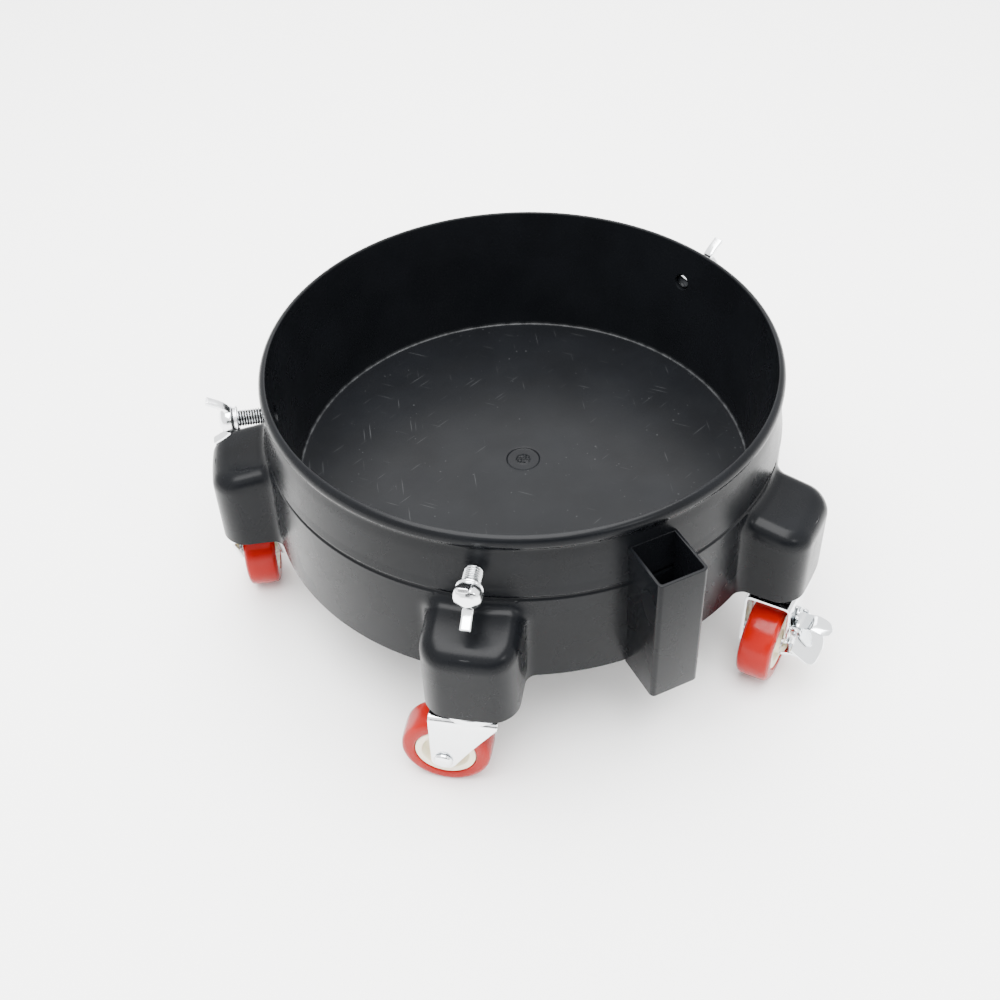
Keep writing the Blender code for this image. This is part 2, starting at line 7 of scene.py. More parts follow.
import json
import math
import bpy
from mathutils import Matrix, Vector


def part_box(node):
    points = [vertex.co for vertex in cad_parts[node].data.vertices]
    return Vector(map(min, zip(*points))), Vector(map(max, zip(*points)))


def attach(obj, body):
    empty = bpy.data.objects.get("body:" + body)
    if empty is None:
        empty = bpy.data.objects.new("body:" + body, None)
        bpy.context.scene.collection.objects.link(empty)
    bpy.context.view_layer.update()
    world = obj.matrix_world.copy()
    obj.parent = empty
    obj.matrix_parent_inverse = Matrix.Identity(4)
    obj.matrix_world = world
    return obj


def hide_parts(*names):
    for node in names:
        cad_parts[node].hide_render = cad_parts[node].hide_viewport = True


bl_info = {
    "name": "Drum Dolly",
    "version": (1, 0, 0),
    "blender": (4, 5, 0),
    "location": "3D View > Sidebar > Dolly",
    "description": "Builds the fine surfaces, finishes and stage of a five-castor drum dolly",
    "category": "Add Mesh",
}

import bmesh
import bpy
import numpy as np
from bpy.props import FloatProperty, FloatVectorProperty, IntProperty, PointerProperty
from bpy.types import Operator, Panel, PropertyGroup
from mathutils import Euler, Matrix

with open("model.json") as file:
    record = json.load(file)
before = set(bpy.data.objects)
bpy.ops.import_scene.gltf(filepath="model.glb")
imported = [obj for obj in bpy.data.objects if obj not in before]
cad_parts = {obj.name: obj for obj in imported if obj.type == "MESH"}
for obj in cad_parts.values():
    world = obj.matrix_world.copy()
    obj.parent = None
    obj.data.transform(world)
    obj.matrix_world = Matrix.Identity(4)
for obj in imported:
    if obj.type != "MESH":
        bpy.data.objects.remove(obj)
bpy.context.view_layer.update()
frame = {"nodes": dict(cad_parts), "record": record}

MM = 0.001
RECORD = frame["record"]
JOINTS = {joint["name"]: joint for joint in RECORD["behaviour"]["joints"]}
BODY_OF = {
    node: body for body, nodes in RECORD["behaviour"]["bodies"].items() for node in nodes
}
CASTORS = [name.removesuffix("_castor_swivel") for name in JOINTS if name.endswith("_castor_swivel")]
SCREWS = [name.removesuffix("_wing_turn") for name in JOINTS if name.endswith("_wing_turn")]
BRAKED = "front_right"

# Heights and radii of the tub, the forks and the wheels. The CAD pieces have the same ones.
TUB_LOW, TUB_HIGH = (np.array(corner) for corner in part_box("tub"))
RIM_CREST = TUB_HIGH[2]
RIM_HEIGHT = RIM_CREST - 4.8 * MM
RIM_RADIUS = 150.0 * MM
MOUTH_RADIUS = RIM_RADIUS - 4.0 * MM
FLOOR_TOP = 87.5 * MM
FLOOR_BOTTOM = FLOOR_TOP - 3.0 * MM
FLOOR_RADIUS = 136.9 * MM
GATE_BOTTOM = FLOOR_TOP - 0.8 * MM   # the round recess in the middle of the floor
STUB_RADIUS = 3.9 * MM               # the broken sprue that stands in it
GROOVE_HEIGHT = 128.2 * MM
GROOVE_RADIUS = RIM_RADIUS + 2.2 * MM
SKIRT_TOP_RADIUS = GROOVE_RADIUS - 0.4 * MM
SKIRT_BOTTOM = 68.5 * MM
SKIRT_RADIUS = RIM_RADIUS + 3.4 * MM
CAVITY_TOP = 139.0 * MM
POD_BOTTOM = 68.0 * MM
POD_TOP = 122.5 * MM
POD_OUTER = 184.5 * MM
POD_INNER = 151.6 * MM
POD_WIDTH = 52.5 * MM
POD_BULGE = 1.5 * MM
POD_SLOPE = math.radians(10.0)
BOSS_RADIUS = 14.5 * MM
BOSS_BORE = 8.3 * MM
BOSS_BOTTOM = POD_BOTTOM + 0.2 * MM
BOSS_TOP = POD_TOP - 8.0 * MM
SOCKET_OUTER = 180.4 * MM
SOCKET_BOTTOM = TUB_LOW[2]
SOCKET_FLOOR = SOCKET_BOTTOM + 2.2 * MM
SOCKET_TOP = RIM_HEIGHT - 12.3 * MM
SCREW_HEIGHT = JOINTS["left_wing_turn"]["pos_m"][2]
SCREW_TIP = 144.4 * MM               # from the tub's axis to a screw's inner end
SCREW_RADIUS = 5.0 * MM
CROWN_TOP = 61.5 * MM
FORK_HALF = 14.0 * MM
FORK_FRONT = 15.0 * MM
FORK_BACK = 23.0 * MM
FOOT_RADIUS = 7.6 * MM
BALL_CIRCLE = 11.0 * MM              # from the swivel axis to the middle of a ball
WHEEL_RADIUS = JOINTS["back_wheel_spin"]["pos_m"][2]
TRAIL = 16.0 * MM
EAR_PLACES = (1.6 * MM, 18.4 * MM)   # along the trail, to the near side of each brake ear
EAR_HALF = 3.4 * MM


# --- Settings --------------------------------------------------------------------------------

def linear(hex_code):
    """Linear red, green and blue of an sRGB colour written as six hex digits."""
    srgb = np.array([int(hex_code[start:start + 2], 16) for start in (0, 2, 4)]) / 255.0
    return tuple(np.where(srgb <= 0.04045, srgb / 12.92, ((srgb + 0.055) / 1.055) ** 2.4).tolist())


def colour(title, hex_code):
    """A colour setting with its default written in sRGB."""
    return FloatVectorProperty(
        name=title, description=f"Base colour: {title.lower()}", subtype="COLOR",
        size=3, min=0.0, max=1.0, default=linear(hex_code),
    )


def length(title, words, value):
    """A length setting in metres."""
    return FloatProperty(name=title, description=words, subtype="DISTANCE", unit="LENGTH",
                         min=0.0, precision=5, default=value)


class DollyTubSettings(PropertyGroup):
    """Sizes and colour of the moulded tub."""

    wall: length("Wall", "Thickness of the skirt and the pods", 2.5 * MM)
    pod_corner: length("Pod corner", "Corner radius of a pod in plan", 14.0 * MM)
    pod_edge: length("Pod edge", "Radius of the top edge of a pod", 9.0 * MM)
    fillet: length("Fillet", "Radius where a pod runs into the skirt", 5.5 * MM)
    socket_width: length("Socket width", "Handle socket from side to side", 28.8 * MM)
    socket_wall: length("Socket wall", "Thickness of the handle socket's walls", 1.8 * MM)
    bore: length("Bore", "Radius of a screw's hole", 5.25 * MM)
    grain: length("Grain", "Spacing of the moulded grain", 0.9 * MM)
    columns: IntProperty(name="Columns", description="Points around the tub", min=200, default=450)
    plastic: colour("Black polypropylene", "090A0C")


class DollyCastorSettings(PropertyGroup):
    """Sizes and colours of the castors."""

    sheet: length("Sheet", "Thickness of the pressed fork", 1.8 * MM)
    bend: length("Bend", "Bend radius between the crown and a leg", 3.0 * MM)
    ball: length("Ball", "Diameter of a bearing ball", 2.2 * MM)
    balls: IntProperty(name="Balls", description="Balls in one ring", min=6, default=26)
    pedal_sheet: length("Pedal sheet", "Thickness of the brake pedal", 1.6 * MM)
    zinc: colour("Bright zinc plate", "EEF1F3")
    steel: colour("Plain steel", "B9BCC0")
    tyre: colour("Red polyurethane", "8E0802")
    core: colour("Cream nylon", "E9E2CC")
    insert: colour("Turned brass", "D6B26A")


class DollyScrewSettings(PropertyGroup):
    """Sizes of the wing screws."""

    pitch: length("Pitch", "Thread pitch", 1.5 * MM)
    thread: length("Thread depth", "Height of the thread's crest over its root", 0.92 * MM)
    wing_width: length("Wing width", "Width of a wing", 6.0 * MM)
    wing_thickness: length("Wing thickness", "Thickness of a wing", 2.8 * MM)
    casting: colour("Plated casting", "EDEFF1")


class DollyStageSettings(PropertyGroup):
    """Floor, light and camera."""

    floor: colour("Pale floor", "F7F7F6")
    surround: FloatProperty(name="Surround", description="Brightness of the white surround",
                            min=0.0, default=2.5)
    key: FloatProperty(name="Key light", description="Power of the large overhead light",
                       subtype="POWER", unit="POWER", min=0.0, default=130.0)
    back: FloatProperty(name="Back light", description="Power of the large light behind the dolly",
                        subtype="POWER", unit="POWER", min=0.0, default=22.0)
    front: FloatProperty(name="Front light", description="Power of the small light beside the camera",
                         subtype="POWER", unit="POWER", min=0.0, default=4.0)
    lens: FloatProperty(name="Lens", description="Focal length", subtype="DISTANCE_CAMERA",
                        unit="CAMERA", min=1.0, default=49.151)


# --- Surfaces --------------------------------------------------------------------------------

def soften(outline, cut, steps=4):
    """Outline with every inner corner rounded.

    Each corner becomes a quadratic curve that starts one cut length before it and ends one after.
    """
    points = np.asarray(outline, dtype=float)
    corner = points[1:-1]
    before = points[:-2] - corner
    after = points[2:] - corner
    length_before = np.linalg.norm(before, axis=1, keepdims=True)
    length_after = np.linalg.norm(after, axis=1, keepdims=True)
    start = corner + before / length_before * np.minimum(cut, 0.48 * length_before)
    end = corner + after / length_after * np.minimum(cut, 0.48 * length_after)
    t = np.linspace(0.0, 1.0, steps + 1)[None, :, None]
    curve = (1 - t) ** 2 * start[:, None] + 2 * t * (1 - t) * corner[:, None] + t * t * end[:, None]
    return np.vstack([points[:1], curve.reshape(-1, points.shape[1]), points[-1:]])


def in_mm(points):
    """Points written in millimetres, as metres."""
    return np.array(points) * MM


def ellipse(middle, wide, high, start, end, steps):
    """Points along an ellipse, its angles in quarter turns from outwards."""
    turn = np.linspace(start, end, steps + 1) * math.pi / 2.0
    return np.stack([middle[0] + wide * np.cos(turn), middle[1] + high * np.sin(turn)], axis=1)


def both_sides(half):
    """Outline of a ring that is the same on both sides of height 0, from its upper half.

    The half runs from the bore outwards. Its mirror image comes first, and then it runs backwards.
    """
    return np.vstack([half * (1.0, -1.0), half[::-1]])


def lathe(outline, segments, ripple=None):
    """Rows of points: an outline of (radius, height) turned about Z, from its start to its end.

    A ripple is a function of angle and height that is added to the radius.
    """
    radius, height = np.asarray(outline, dtype=float).T
    turn = np.linspace(0.0, 2.0 * math.pi, segments, endpoint=False)[None, :]
    radius = radius[:, None] + np.zeros_like(turn)
    height = height[:, None] + np.zeros_like(turn)
    if ripple is not None:
        radius = np.where(radius > 0.0, radius + ripple(turn, height), radius)
    return np.stack([radius * np.cos(turn), radius * np.sin(turn), height], axis=-1)


def put(points, matrix):
    """Points moved from a piece's own frame to the dolly's."""
    return points @ matrix[:3, :3].T + matrix[:3, 3]


def matrix_from(x_axis, y_axis, z_axis, origin):
    """Frame from its three unit axes and its origin."""
    matrix = np.eye(4)
    matrix[:3, 0] = x_axis
    matrix[:3, 1] = y_axis
    matrix[:3, 2] = z_axis
    matrix[:3, 3] = origin
    return matrix


def mesh_of(name, grids, wrap=True):
    """One mesh from grids of points, each a surface of four-sided faces.

    Columns run counter-clockwise round the surface and rows run up it, so faces point outwards.
    Points that coincide, as at a pole or a seam, are merged.
    """
    vertices = []
    faces = []
    offset = 0
    for grid in grids:
        rows, columns = grid.shape[:2]
        index = np.arange(rows * columns).reshape(rows, columns) + offset
        last = columns if wrap else columns - 1
        here = index[:, :last]
        beside = np.roll(index, -1, axis=1)[:, :last]
        quads = np.stack([here[:-1], beside[:-1], beside[1:], here[1:]], axis=-1)
        vertices.append(grid.reshape(-1, 3))
        faces.append(quads.reshape(-1, 4))
        offset += rows * columns
    mesh = bpy.data.meshes.new(name)
    mesh.from_pydata(np.vstack(vertices).tolist(), [], np.vstack(faces).tolist())
    work = bmesh.new()
    work.from_mesh(mesh)
    bmesh.ops.remove_doubles(work, verts=work.verts, dist=0.002 * MM)
    bmesh.ops.dissolve_degenerate(work, edges=work.edges, dist=0.001 * MM)
    work.to_mesh(mesh)
    work.free()
    return mesh


def add_piece(node, mesh, finish, sharp=40.0):
    """A fine piece that stands for one CAD node and hides it, on that node's body."""
    mesh.shade_smooth()
    mesh.set_sharp_from_angle(angle=math.radians(sharp))
    mesh.materials.append(finish)
    piece = bpy.data.objects.new(f"{node}_finished", mesh)
    bpy.context.scene.collection.objects.link(piece)
    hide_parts(node)
    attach(piece, BODY_OF[node])
    return piece


def add_modifier(piece, kind, **settings):
    """A modifier with its settings."""
    step = piece.modifiers.new(kind.title(), kind)
    for key, value in settings.items():
        setattr(step, key, value)
    return step


def make_sheet_metal(piece, thickness, edge):
    """Give a middle surface its thickness, and round its cut edges."""
    add_modifier(piece, "SOLIDIFY", thickness=thickness, offset=0.0, use_even_offset=True)
    add_modifier(piece, "BEVEL", width=edge, segments=2, limit_method="ANGLE",
                 angle_limit=math.radians(50.0))


# --- Frames from the joints ------------------------------------------------------------------

UP = np.array([0.0, 0.0, 1.0])


def castor_frame(name):
    """Origin on the swivel axis at the ground, X along the trail, Y outwards along the axle."""
    swivel = np.array(JOINTS[f"{name}_castor_swivel"]["pos_m"]) * (1.0, 1.0, 0.0)
    wheel = JOINTS[f"{name}_wheel_spin"]
    trail = np.array(wheel["pos_m"]) * (1.0, 1.0, 0.0) - swivel
    return matrix_from(trail / np.linalg.norm(trail), wheel["axis"], UP, swivel)


def axle_frame(name):
    """Origin at the wheel's centre, Z outwards along the axle, X along the trail."""
    base = castor_frame(name)
    return matrix_from(base[:3, 0], -UP, base[:3, 1], JOINTS[f"{name}_wheel_spin"]["pos_m"])


def screw_frame(name):
    """Origin at the wing head's inner face, Z straight at the tub's axis, X up."""
    joint = JOINTS[f"{name}_wing_turn"]
    inwards = np.array(joint["axis"])
    return matrix_from(UP, np.cross(inwards, UP), inwards, joint["pos_m"])


def pin_frame():
    """Origin on the brake pin in the swivel's plane, Z along the trail, X down."""
    base = castor_frame(BRAKED)
    joint = JOINTS["front_right_brake"]
    along = base[:3, 0]
    offset = np.array(joint["pos_m"]) - base[:3, 3]
    origin = np.array(joint["pos_m"]) - along * (offset @ along)
    return matrix_from(-UP, base[:3, 1], along, origin)


# --- Materials -------------------------------------------------------------------------------

def add_node(tree, kind, inputs=None, **settings):
    """Add a node, set its properties, and fill its inputs with values or with other nodes' outputs."""
    made = tree.nodes.new(kind)
    for key, value in settings.items():
        setattr(made, key, value)
    for key, value in (inputs or {}).items():
        if isinstance(value, bpy.types.NodeSocket):
            tree.links.new(value, made.inputs[key])
        else:
            made.inputs[key].default_value = value
    return made


def start_material(name, metallic, ior=1.5):
    """A material with its shader joined to the output: returns it, its tree and the shader."""
    material = bpy.data.materials.new(name)
    material.use_nodes = True
    tree = material.node_tree
    shader = tree.nodes["Principled BSDF"]
    shader.inputs["Metallic"].default_value = metallic
    shader.inputs["IOR"].default_value = ior
    return material, tree, shader


def noise(tree, place, spacing, detail=2.0, stretch=None, turn=0.0):
    """Noise whose features are one spacing apart, in metres; a stretch draws it out along X."""
    if stretch is not None:
        place = add_node(tree, "ShaderNodeMapping", {
            "Vector": place, "Rotation": (0.0, 0.0, turn), "Scale": (stretch, 1.0, 1.0),
        }, vector_type="TEXTURE").outputs["Vector"]
    made = add_node(tree, "ShaderNodeTexNoise", {"Vector": place, "Scale": 1.0 / spacing, "Detail": detail})
    return made.outputs["Fac"]


def spread(tree, value, low, high, to_low, to_high):
    """A value stretched from one range to another and held at its ends."""
    return add_node(tree, "ShaderNodeMapRange", {
        "Value": value, "From Min": low, "From Max": high, "To Min": to_low, "To Max": to_high,
    }).outputs["Result"]


def blend_colours(tree, share, first, second):
    """First colour where the share is 0, second where it is 1."""
    made = add_node(tree, "ShaderNodeMix", {0: share}, data_type="RGBA")
    for index, value in ((6, first), (7, second)):
        if isinstance(value, bpy.types.NodeSocket):
            tree.links.new(value, made.inputs[index])
        else:
            made.inputs[index].default_value = (*value, 1.0)
    return made.outputs[2]


def calculate(tree, operation, first, second):
    """One sum on two values."""
    return add_node(tree, "ShaderNodeMath", {0: first, 1: second}, operation=operation).outputs[0]


def floor_marks(tree, flat, floor):
    """Hair scratches in three directions, and round specks about 5 mm apart, on the floor alone.

    A scratch is a crest of noise about 1 mm across, drawn out 26 times along its direction.
    """
    scratches = 0.0
    for turn, spacing in ((0.35, 0.8), (1.25, 1.0), (2.3, 0.9)):
        streak = noise(tree, flat, spacing * MM, 0.0, stretch=26.0, turn=turn)
        thin = spread(tree, streak, 0.80, 0.86, 0.0, 1.0)
        scratches = calculate(tree, "MAXIMUM", thin, scratches)
    cells = add_node(tree, "ShaderNodeTexVoronoi", {"Vector": flat, "Scale": 1.0 / (5.5 * MM)})
    size = spread(tree, noise(tree, flat, 30.0 * MM), 0.4, 0.7, 0.03, 0.12)
    speck = calculate(tree, "LESS_THAN", cells.outputs["Distance"], size)
    return calculate(tree, "MULTIPLY", calculate(tree, "MAXIMUM", scratches, speck), floor)


def edge_scuff(tree, flat, radius, height):
    """A broken ring where the floor meets the wall."""
    past_edge = calculate(tree, "SUBTRACT", radius, FLOOR_RADIUS - 0.5 * MM)
    from_edge = calculate(tree, "ABSOLUTE", past_edge, 0.0)
    ring = spread(tree, from_edge, 0.3 * MM, 0.9 * MM, 1.0, 0.0)
    near_floor = spread(tree, height, FLOOR_TOP + 1.2 * MM, FLOOR_TOP + 2.2 * MM, 1.0, 0.0)
    broken = spread(tree, noise(tree, flat, 6.0 * MM, 3.0), 0.40, 0.62, 0.25, 1.0)
    return calculate(tree, "MULTIPLY", calculate(tree, "MULTIPLY", ring, near_floor), broken)


def moulded_polypropylene(settings):
    """Black polypropylene, injection moulded in a spark-eroded tool.

    It is satin, with a fine grain and faint clouds. The floor carries hair scratches and specks from
    the drums that stand on it, and its edge is scuffed pale.
    """
    material, tree, shader = start_material("moulded_polypropylene", 0.0, 1.49)
    shader.inputs["Specular IOR Level"].default_value = 0.09
    place = add_node(tree, "ShaderNodeTexCoord").outputs["Object"]
    parts = add_node(tree, "ShaderNodeSeparateXYZ", {"Vector": place}).outputs
    flat = add_node(tree, "ShaderNodeCombineXYZ", {"X": parts["X"], "Y": parts["Y"]}).outputs["Vector"]
    radius = add_node(tree, "ShaderNodeVectorMath", {0: flat}, operation="LENGTH").outputs["Value"]
    # 1 on the floor of the tub and below it, 0 on the wall and the rim.
    low = spread(tree, parts["Z"], FLOOR_TOP + 0.4 * MM, FLOOR_TOP + 0.9 * MM, 1.0, 0.0)
    inside = spread(tree, radius, FLOOR_RADIUS - 1.6 * MM, FLOOR_RADIUS - 1.0 * MM, 1.0, 0.0)
    floor = calculate(tree, "MULTIPLY", low, inside)

    clouds = noise(tree, place, 38.0 * MM, 3.0)
    shade = blend_colours(tree, spread(tree, clouds, 0.35, 0.65, 0.0, 1.0),
                          settings.plastic, [channel * 1.35 for channel in settings.plastic])
    marks = floor_marks(tree, flat, floor)
    scuff = edge_scuff(tree, flat, radius, parts["Z"])
    shade = blend_colours(tree, calculate(tree, "MULTIPLY", marks, 0.06), shade, linear("8E9092"))
    shade = blend_colours(tree, calculate(tree, "MULTIPLY", scuff, 0.06), shade, linear("A6A8AA"))
    tree.links.new(shade, shader.inputs["Base Color"])

    smears = spread(tree, noise(tree, place, 22.0 * MM, 4.0), 0.3, 0.7, 0.23, 0.31)
    rough = calculate(tree, "ADD", smears, calculate(tree, "MULTIPLY", floor, 0.10))
    tree.links.new(rough, shader.inputs["Roughness"])

    # The grain is about 0.1 mm on the real moulding, too fine to show, so it is drawn coarser.
    grain = noise(tree, place, settings.grain, 2.0)
    height = calculate(tree, "ADD", grain, calculate(tree, "MULTIPLY", marks, 0.25))
    bump = add_node(tree, "ShaderNodeBump", {"Height": height, "Strength": 0.10, "Distance": 0.05 * MM})
    tree.links.new(bump.outputs["Normal"], shader.inputs["Normal"])
    return material


def plated_metal(name, tone, low, high, spacing, relief):
    """Bare, ground or plated metal: mirror-like, with soft clouds in its gloss.

    Its roughness lies between low and high. The relief is the height of the unevenness that the
    plating or the tool leaves, one spacing apart. Where a thread's groove attribute is 1, the metal
    is darkened towards near black as painted shade in the thread's grooves.
    """
    material, tree, shader = start_material(name, 1.0)
    place = add_node(tree, "ShaderNodeTexCoord").outputs["Object"]
    clouds = noise(tree, place, 9.0 * MM, 3.0)
    darker = [channel * 0.90 for channel in tone]
    shade = blend_colours(tree, clouds, tone, darker)
    # Painted shade: the thread's groove attribute darkens the metal, most in the root of each groove.
    groove = add_node(tree, "ShaderNodeAttribute", attribute_name="groove").outputs["Fac"]
    shade = blend_colours(tree, groove, shade, linear("1C1D1F"))
    tree.links.new(shade, shader.inputs["Base Color"])
    fine = noise(tree, place, spacing, 3.0)
    gloss = spread(tree, calculate(tree, "ADD", clouds, fine), 0.7, 1.3, low, high)
    tree.links.new(gloss, shader.inputs["Roughness"])
    bump = add_node(tree, "ShaderNodeBump", {"Height": fine, "Strength": 0.25, "Distance": relief})
    tree.links.new(bump.outputs["Normal"], shader.inputs["Normal"])
    return material


def cast_polyurethane(settings):
    """Red polyurethane, cast round the core: glossy, a little see-through, with fine scuffs."""
    material, tree, shader = start_material("cast_polyurethane", 0.0, 1.5)
    place = add_node(tree, "ShaderNodeTexCoord").outputs["Object"]
    clouds = noise(tree, place, 12.0 * MM, 2.0)
    deep = [channel * 0.80 for channel in settings.tyre]
    tree.links.new(blend_colours(tree, clouds, settings.tyre, deep), shader.inputs["Base Color"])
    scuffs = noise(tree, place, 2.2 * MM, 4.0)
    tree.links.new(spread(tree, scuffs, 0.3, 0.8, 0.13, 0.30), shader.inputs["Roughness"])
    shader.inputs["Specular IOR Level"].default_value = 0.15
    shader.inputs["Subsurface Weight"].default_value = 0.05
    shader.inputs["Subsurface Radius"].default_value = (1.0, 0.2, 0.1)
    shader.inputs["Subsurface Scale"].default_value = 1.5 * MM
    bump = add_node(tree, "ShaderNodeBump", {"Height": scuffs, "Strength": 0.12, "Distance": 0.04 * MM})
    tree.links.new(bump.outputs["Normal"], shader.inputs["Normal"])
    return material


def moulded_nylon(settings):
    """Natural nylon, moulded: cream, satin and a little see-through."""
    material, tree, shader = start_material("moulded_nylon", 0.0, 1.53)
    place = add_node(tree, "ShaderNodeTexCoord").outputs["Object"]
    clouds = noise(tree, place, 7.0 * MM, 3.0)
    aged = [channel * share for channel, share in zip(settings.core, (0.93, 0.90, 0.82))]
    tree.links.new(blend_colours(tree, clouds, settings.core, aged), shader.inputs["Base Color"])
    fine = noise(tree, place, 0.7 * MM, 2.0)
    tree.links.new(spread(tree, fine, 0.3, 0.7, 0.32, 0.44), shader.inputs["Roughness"])
    shader.inputs["Subsurface Weight"].default_value = 0.15
    shader.inputs["Subsurface Scale"].default_value = 1.5 * MM
    bump = add_node(tree, "ShaderNodeBump", {"Height": fine, "Strength": 0.1, "Distance": 0.03 * MM})
    tree.links.new(bump.outputs["Normal"], shader.inputs["Normal"])
    return material


def painted_floor(settings):
    """Pale matt studio floor."""
    material, tree, shader = start_material("painted_floor", 0.0)
    shader.inputs["Base Color"].default_value = (*settings.floor, 1.0)
    shader.inputs["Roughness"].default_value = 0.85
    shader.inputs["Specular IOR Level"].default_value = 0.2
    return material


def dark_card():
    """Matt black card."""
    material, _, shader = start_material("dark_card", 0.0)
    shader.inputs["Base Color"].default_value = (0.02, 0.02, 0.02, 1.0)
    shader.inputs["Roughness"].default_value = 0.9
    return material


FINISHES = {}


def make_finishes(scene):
    """All materials, made once and kept by name."""
    castor = scene.dolly_castor
    FINISHES["tub"] = moulded_polypropylene(scene.dolly_tub)
    FINISHES["zinc"] = plated_metal("bright_zinc_plate", castor.zinc, 0.07, 0.16, 1.6 * MM, 0.02 * MM)
    FINISHES["casting"] = plated_metal(
        "plated_zinc_casting", scene.dolly_screw.casting, 0.10, 0.22, 1.1 * MM, 0.05 * MM)
    FINISHES["steel"] = plated_metal("turned_steel", castor.steel, 0.20, 0.34, 0.8 * MM, 0.02 * MM)
    FINISHES["ball"] = plated_metal("ground_steel_ball", castor.steel, 0.05, 0.09, 0.5 * MM, 0.005 * MM)
    FINISHES["brass"] = plated_metal("turned_brass", castor.insert, 0.18, 0.30, 0.6 * MM, 0.02 * MM)
    FINISHES["tyre"] = cast_polyurethane(castor)
    FINISHES["core"] = moulded_nylon(castor)


# --- Tub -------------------------------------------------------------------------------------

def cup_radius(height):
    """Inner radius of the cup, which widens evenly from the floor to the mouth."""
    return FLOOR_RADIUS + (MOUTH_RADIUS - FLOOR_RADIUS) * (height - FLOOR_TOP) / (RIM_CREST - FLOOR_TOP)


def skirt_radius(height):
    """Outer radius of the skirt, which widens evenly below the groove."""
    share = (GROOVE_HEIGHT - height) / (GROOVE_HEIGHT - SKIRT_BOTTOM)
    return SKIRT_TOP_RADIUS + (SKIRT_RADIUS - SKIRT_TOP_RADIUS) * share


def round_meet(first, second, radius):
    """Distance to where two shapes overlap, its edge rounded to the radius."""
    a = first + radius
    b = second + radius
    outside = np.hypot(np.maximum(a, 0.0), np.maximum(b, 0.0))
    return outside + np.minimum(np.maximum(a, b), 0.0) - radius


def round_join(first, second, radius):
    """Distance to two shapes together, the inner corner between them filled to the radius."""
    a = np.maximum(radius - first, 0.0)
    b = np.maximum(radius - second, 0.0)
    return np.maximum(radius, np.minimum(first, second)) - np.hypot(a, b)


def outer_distance(angle, radius, height, settings):
    """Distance outside the skirt and its pods, at an azimuth, a radius and a height.

    A pod is a block with round corners in plan and a nose that bulges a little, cut by a top that
    falls ten degrees outwards, its top edge rounded. Pods run into the skirt in a fillet.
    """
    step = 2.0 * math.pi / len(CASTORS)
    off = np.mod(angle - math.pi / 2.0 + step / 2.0, step) - step / 2.0
    x = radius * np.cos(off)
    y = radius * np.sin(off)
    bulge = POD_BULGE * np.clip((x - POD_INNER) / (POD_OUTER - POD_INNER), 0.0, 1.0) ** 3
    nose = POD_OUTER + bulge * (1.0 - (2.0 * y / POD_WIDTH) ** 2)
    plan = round_meet(x - nose, np.abs(y) - POD_WIDTH / 2.0, settings.pod_corner)
    top = (height - POD_TOP) * math.cos(POD_SLOPE) + (x - POD_INNER) * math.sin(POD_SLOPE)
    pod = round_meet(plan, top, settings.pod_edge)
    return round_join(radius - skirt_radius(height), pod, settings.fillet)


def reach(angle, centre, direction, offset, settings):
    """Points where rays in the plane of an azimuth leave the outer shape, pulled in by the offset.

    Each ray starts at a (radius, height) centre, and its length is found by halving an interval.
    """
    longest = 90.0 * MM
    halvings = 26
    near = np.zeros(np.broadcast(angle, direction).shape)
    far = np.full_like(near, longest)
    for _ in range(halvings):
        middle = 0.5 * (near + far)
        radius = centre[0] + middle * np.cos(direction)
        height = centre[1] + middle * np.sin(direction)
        outside = outer_distance(angle, radius, height, settings) > -offset
        far = np.where(outside, middle, far)
        near = np.where(outside, near, middle)
    return centre[0] + near * np.cos(direction), centre[1] + near * np.sin(direction)


def column_angles(count):
    """Azimuths of the tub's columns, closest together where the sides of the pods stand.

    Their density is 1 between the pods, with a bell curve over each side of a pod and a wide, flat
    one over its nose. The columns are spread evenly over the running total of the density.
    """
    side_at, side_spread, nose_spread = (math.radians(angle) for angle in (9.3, 1.7, 11.5))
    step = 2.0 * math.pi / len(CASTORS)
    fine = np.linspace(-step / 2.0, step / 2.0, 2001)
    side = (np.abs(fine) - side_at) / side_spread
    nose = fine / nose_spread
    density = 1.0 + 5.5 * np.exp(-side * side) + 1.4 * np.exp(-nose ** 4)
    total = np.cumsum(density)
    total = (total - total[0]) / (total[-1] - total[0])
    per_pod = count // len(CASTORS)
    local = np.interp(np.arange(per_pod) / per_pod, total, fine)
    starts = math.pi / 2.0 + np.arange(len(CASTORS)) * step
    return (starts[:, None] + local[None, :]).reshape(-1)


def shell_rows(angles, offset, settings, count):
    """Rows of the skirt and pods from the groove down to the bottom edge, at an offset inwards.

    Rays fan out from a ring inside the wall, from just under the groove to the bottom edge.
    """
    centre = (138.0 * MM, 96.0 * MM)
    top = GROOVE_HEIGHT - 2.1 * MM
    level = np.zeros_like(angles)
    edge_radius, _ = reach(angles, (centre[0], POD_BOTTOM), level, offset, settings)
    start = math.atan2(top - centre[1], float(skirt_radius(top)) - offset - centre[0])
    end = np.arctan2(POD_BOTTOM - centre[1], edge_radius - centre[0])
    share = np.linspace(0.0, 1.0, count)[:, None]
    direction = start + (end[None, :] - start) * share
    radius, height = reach(angles[None, :], centre, direction, offset, settings)
    height[-1] = POD_BOTTOM
    radius[-1] = edge_radius
    return radius, height


def ring_rows(outline, angles):
    """Rows of an outline of (radius, height), the same at every azimuth."""
    radius, height = np.asarray(outline).T
    still = np.zeros_like(angles)[None, :]
    return radius[:, None] + still, height[:, None] + still


def gate_mark(x, y):
    """Height of the broken sprue in the middle of the floor: a rough stub with soft sides.

    Crossed waves a few millimetres long make its torn top.
    """
    radius = np.hypot(x, y)
    stub = 1.0 / (1.0 + np.exp((radius - STUB_RADIUS) / (0.25 * MM)))
    torn = np.sin(x / MM * 2.1 + 0.6) * np.sin(y / MM * 2.7 + 1.1) + 0.6 * np.sin((x + y) / MM * 3.9)
    return stub * (0.75 + 0.35 * torn) * MM


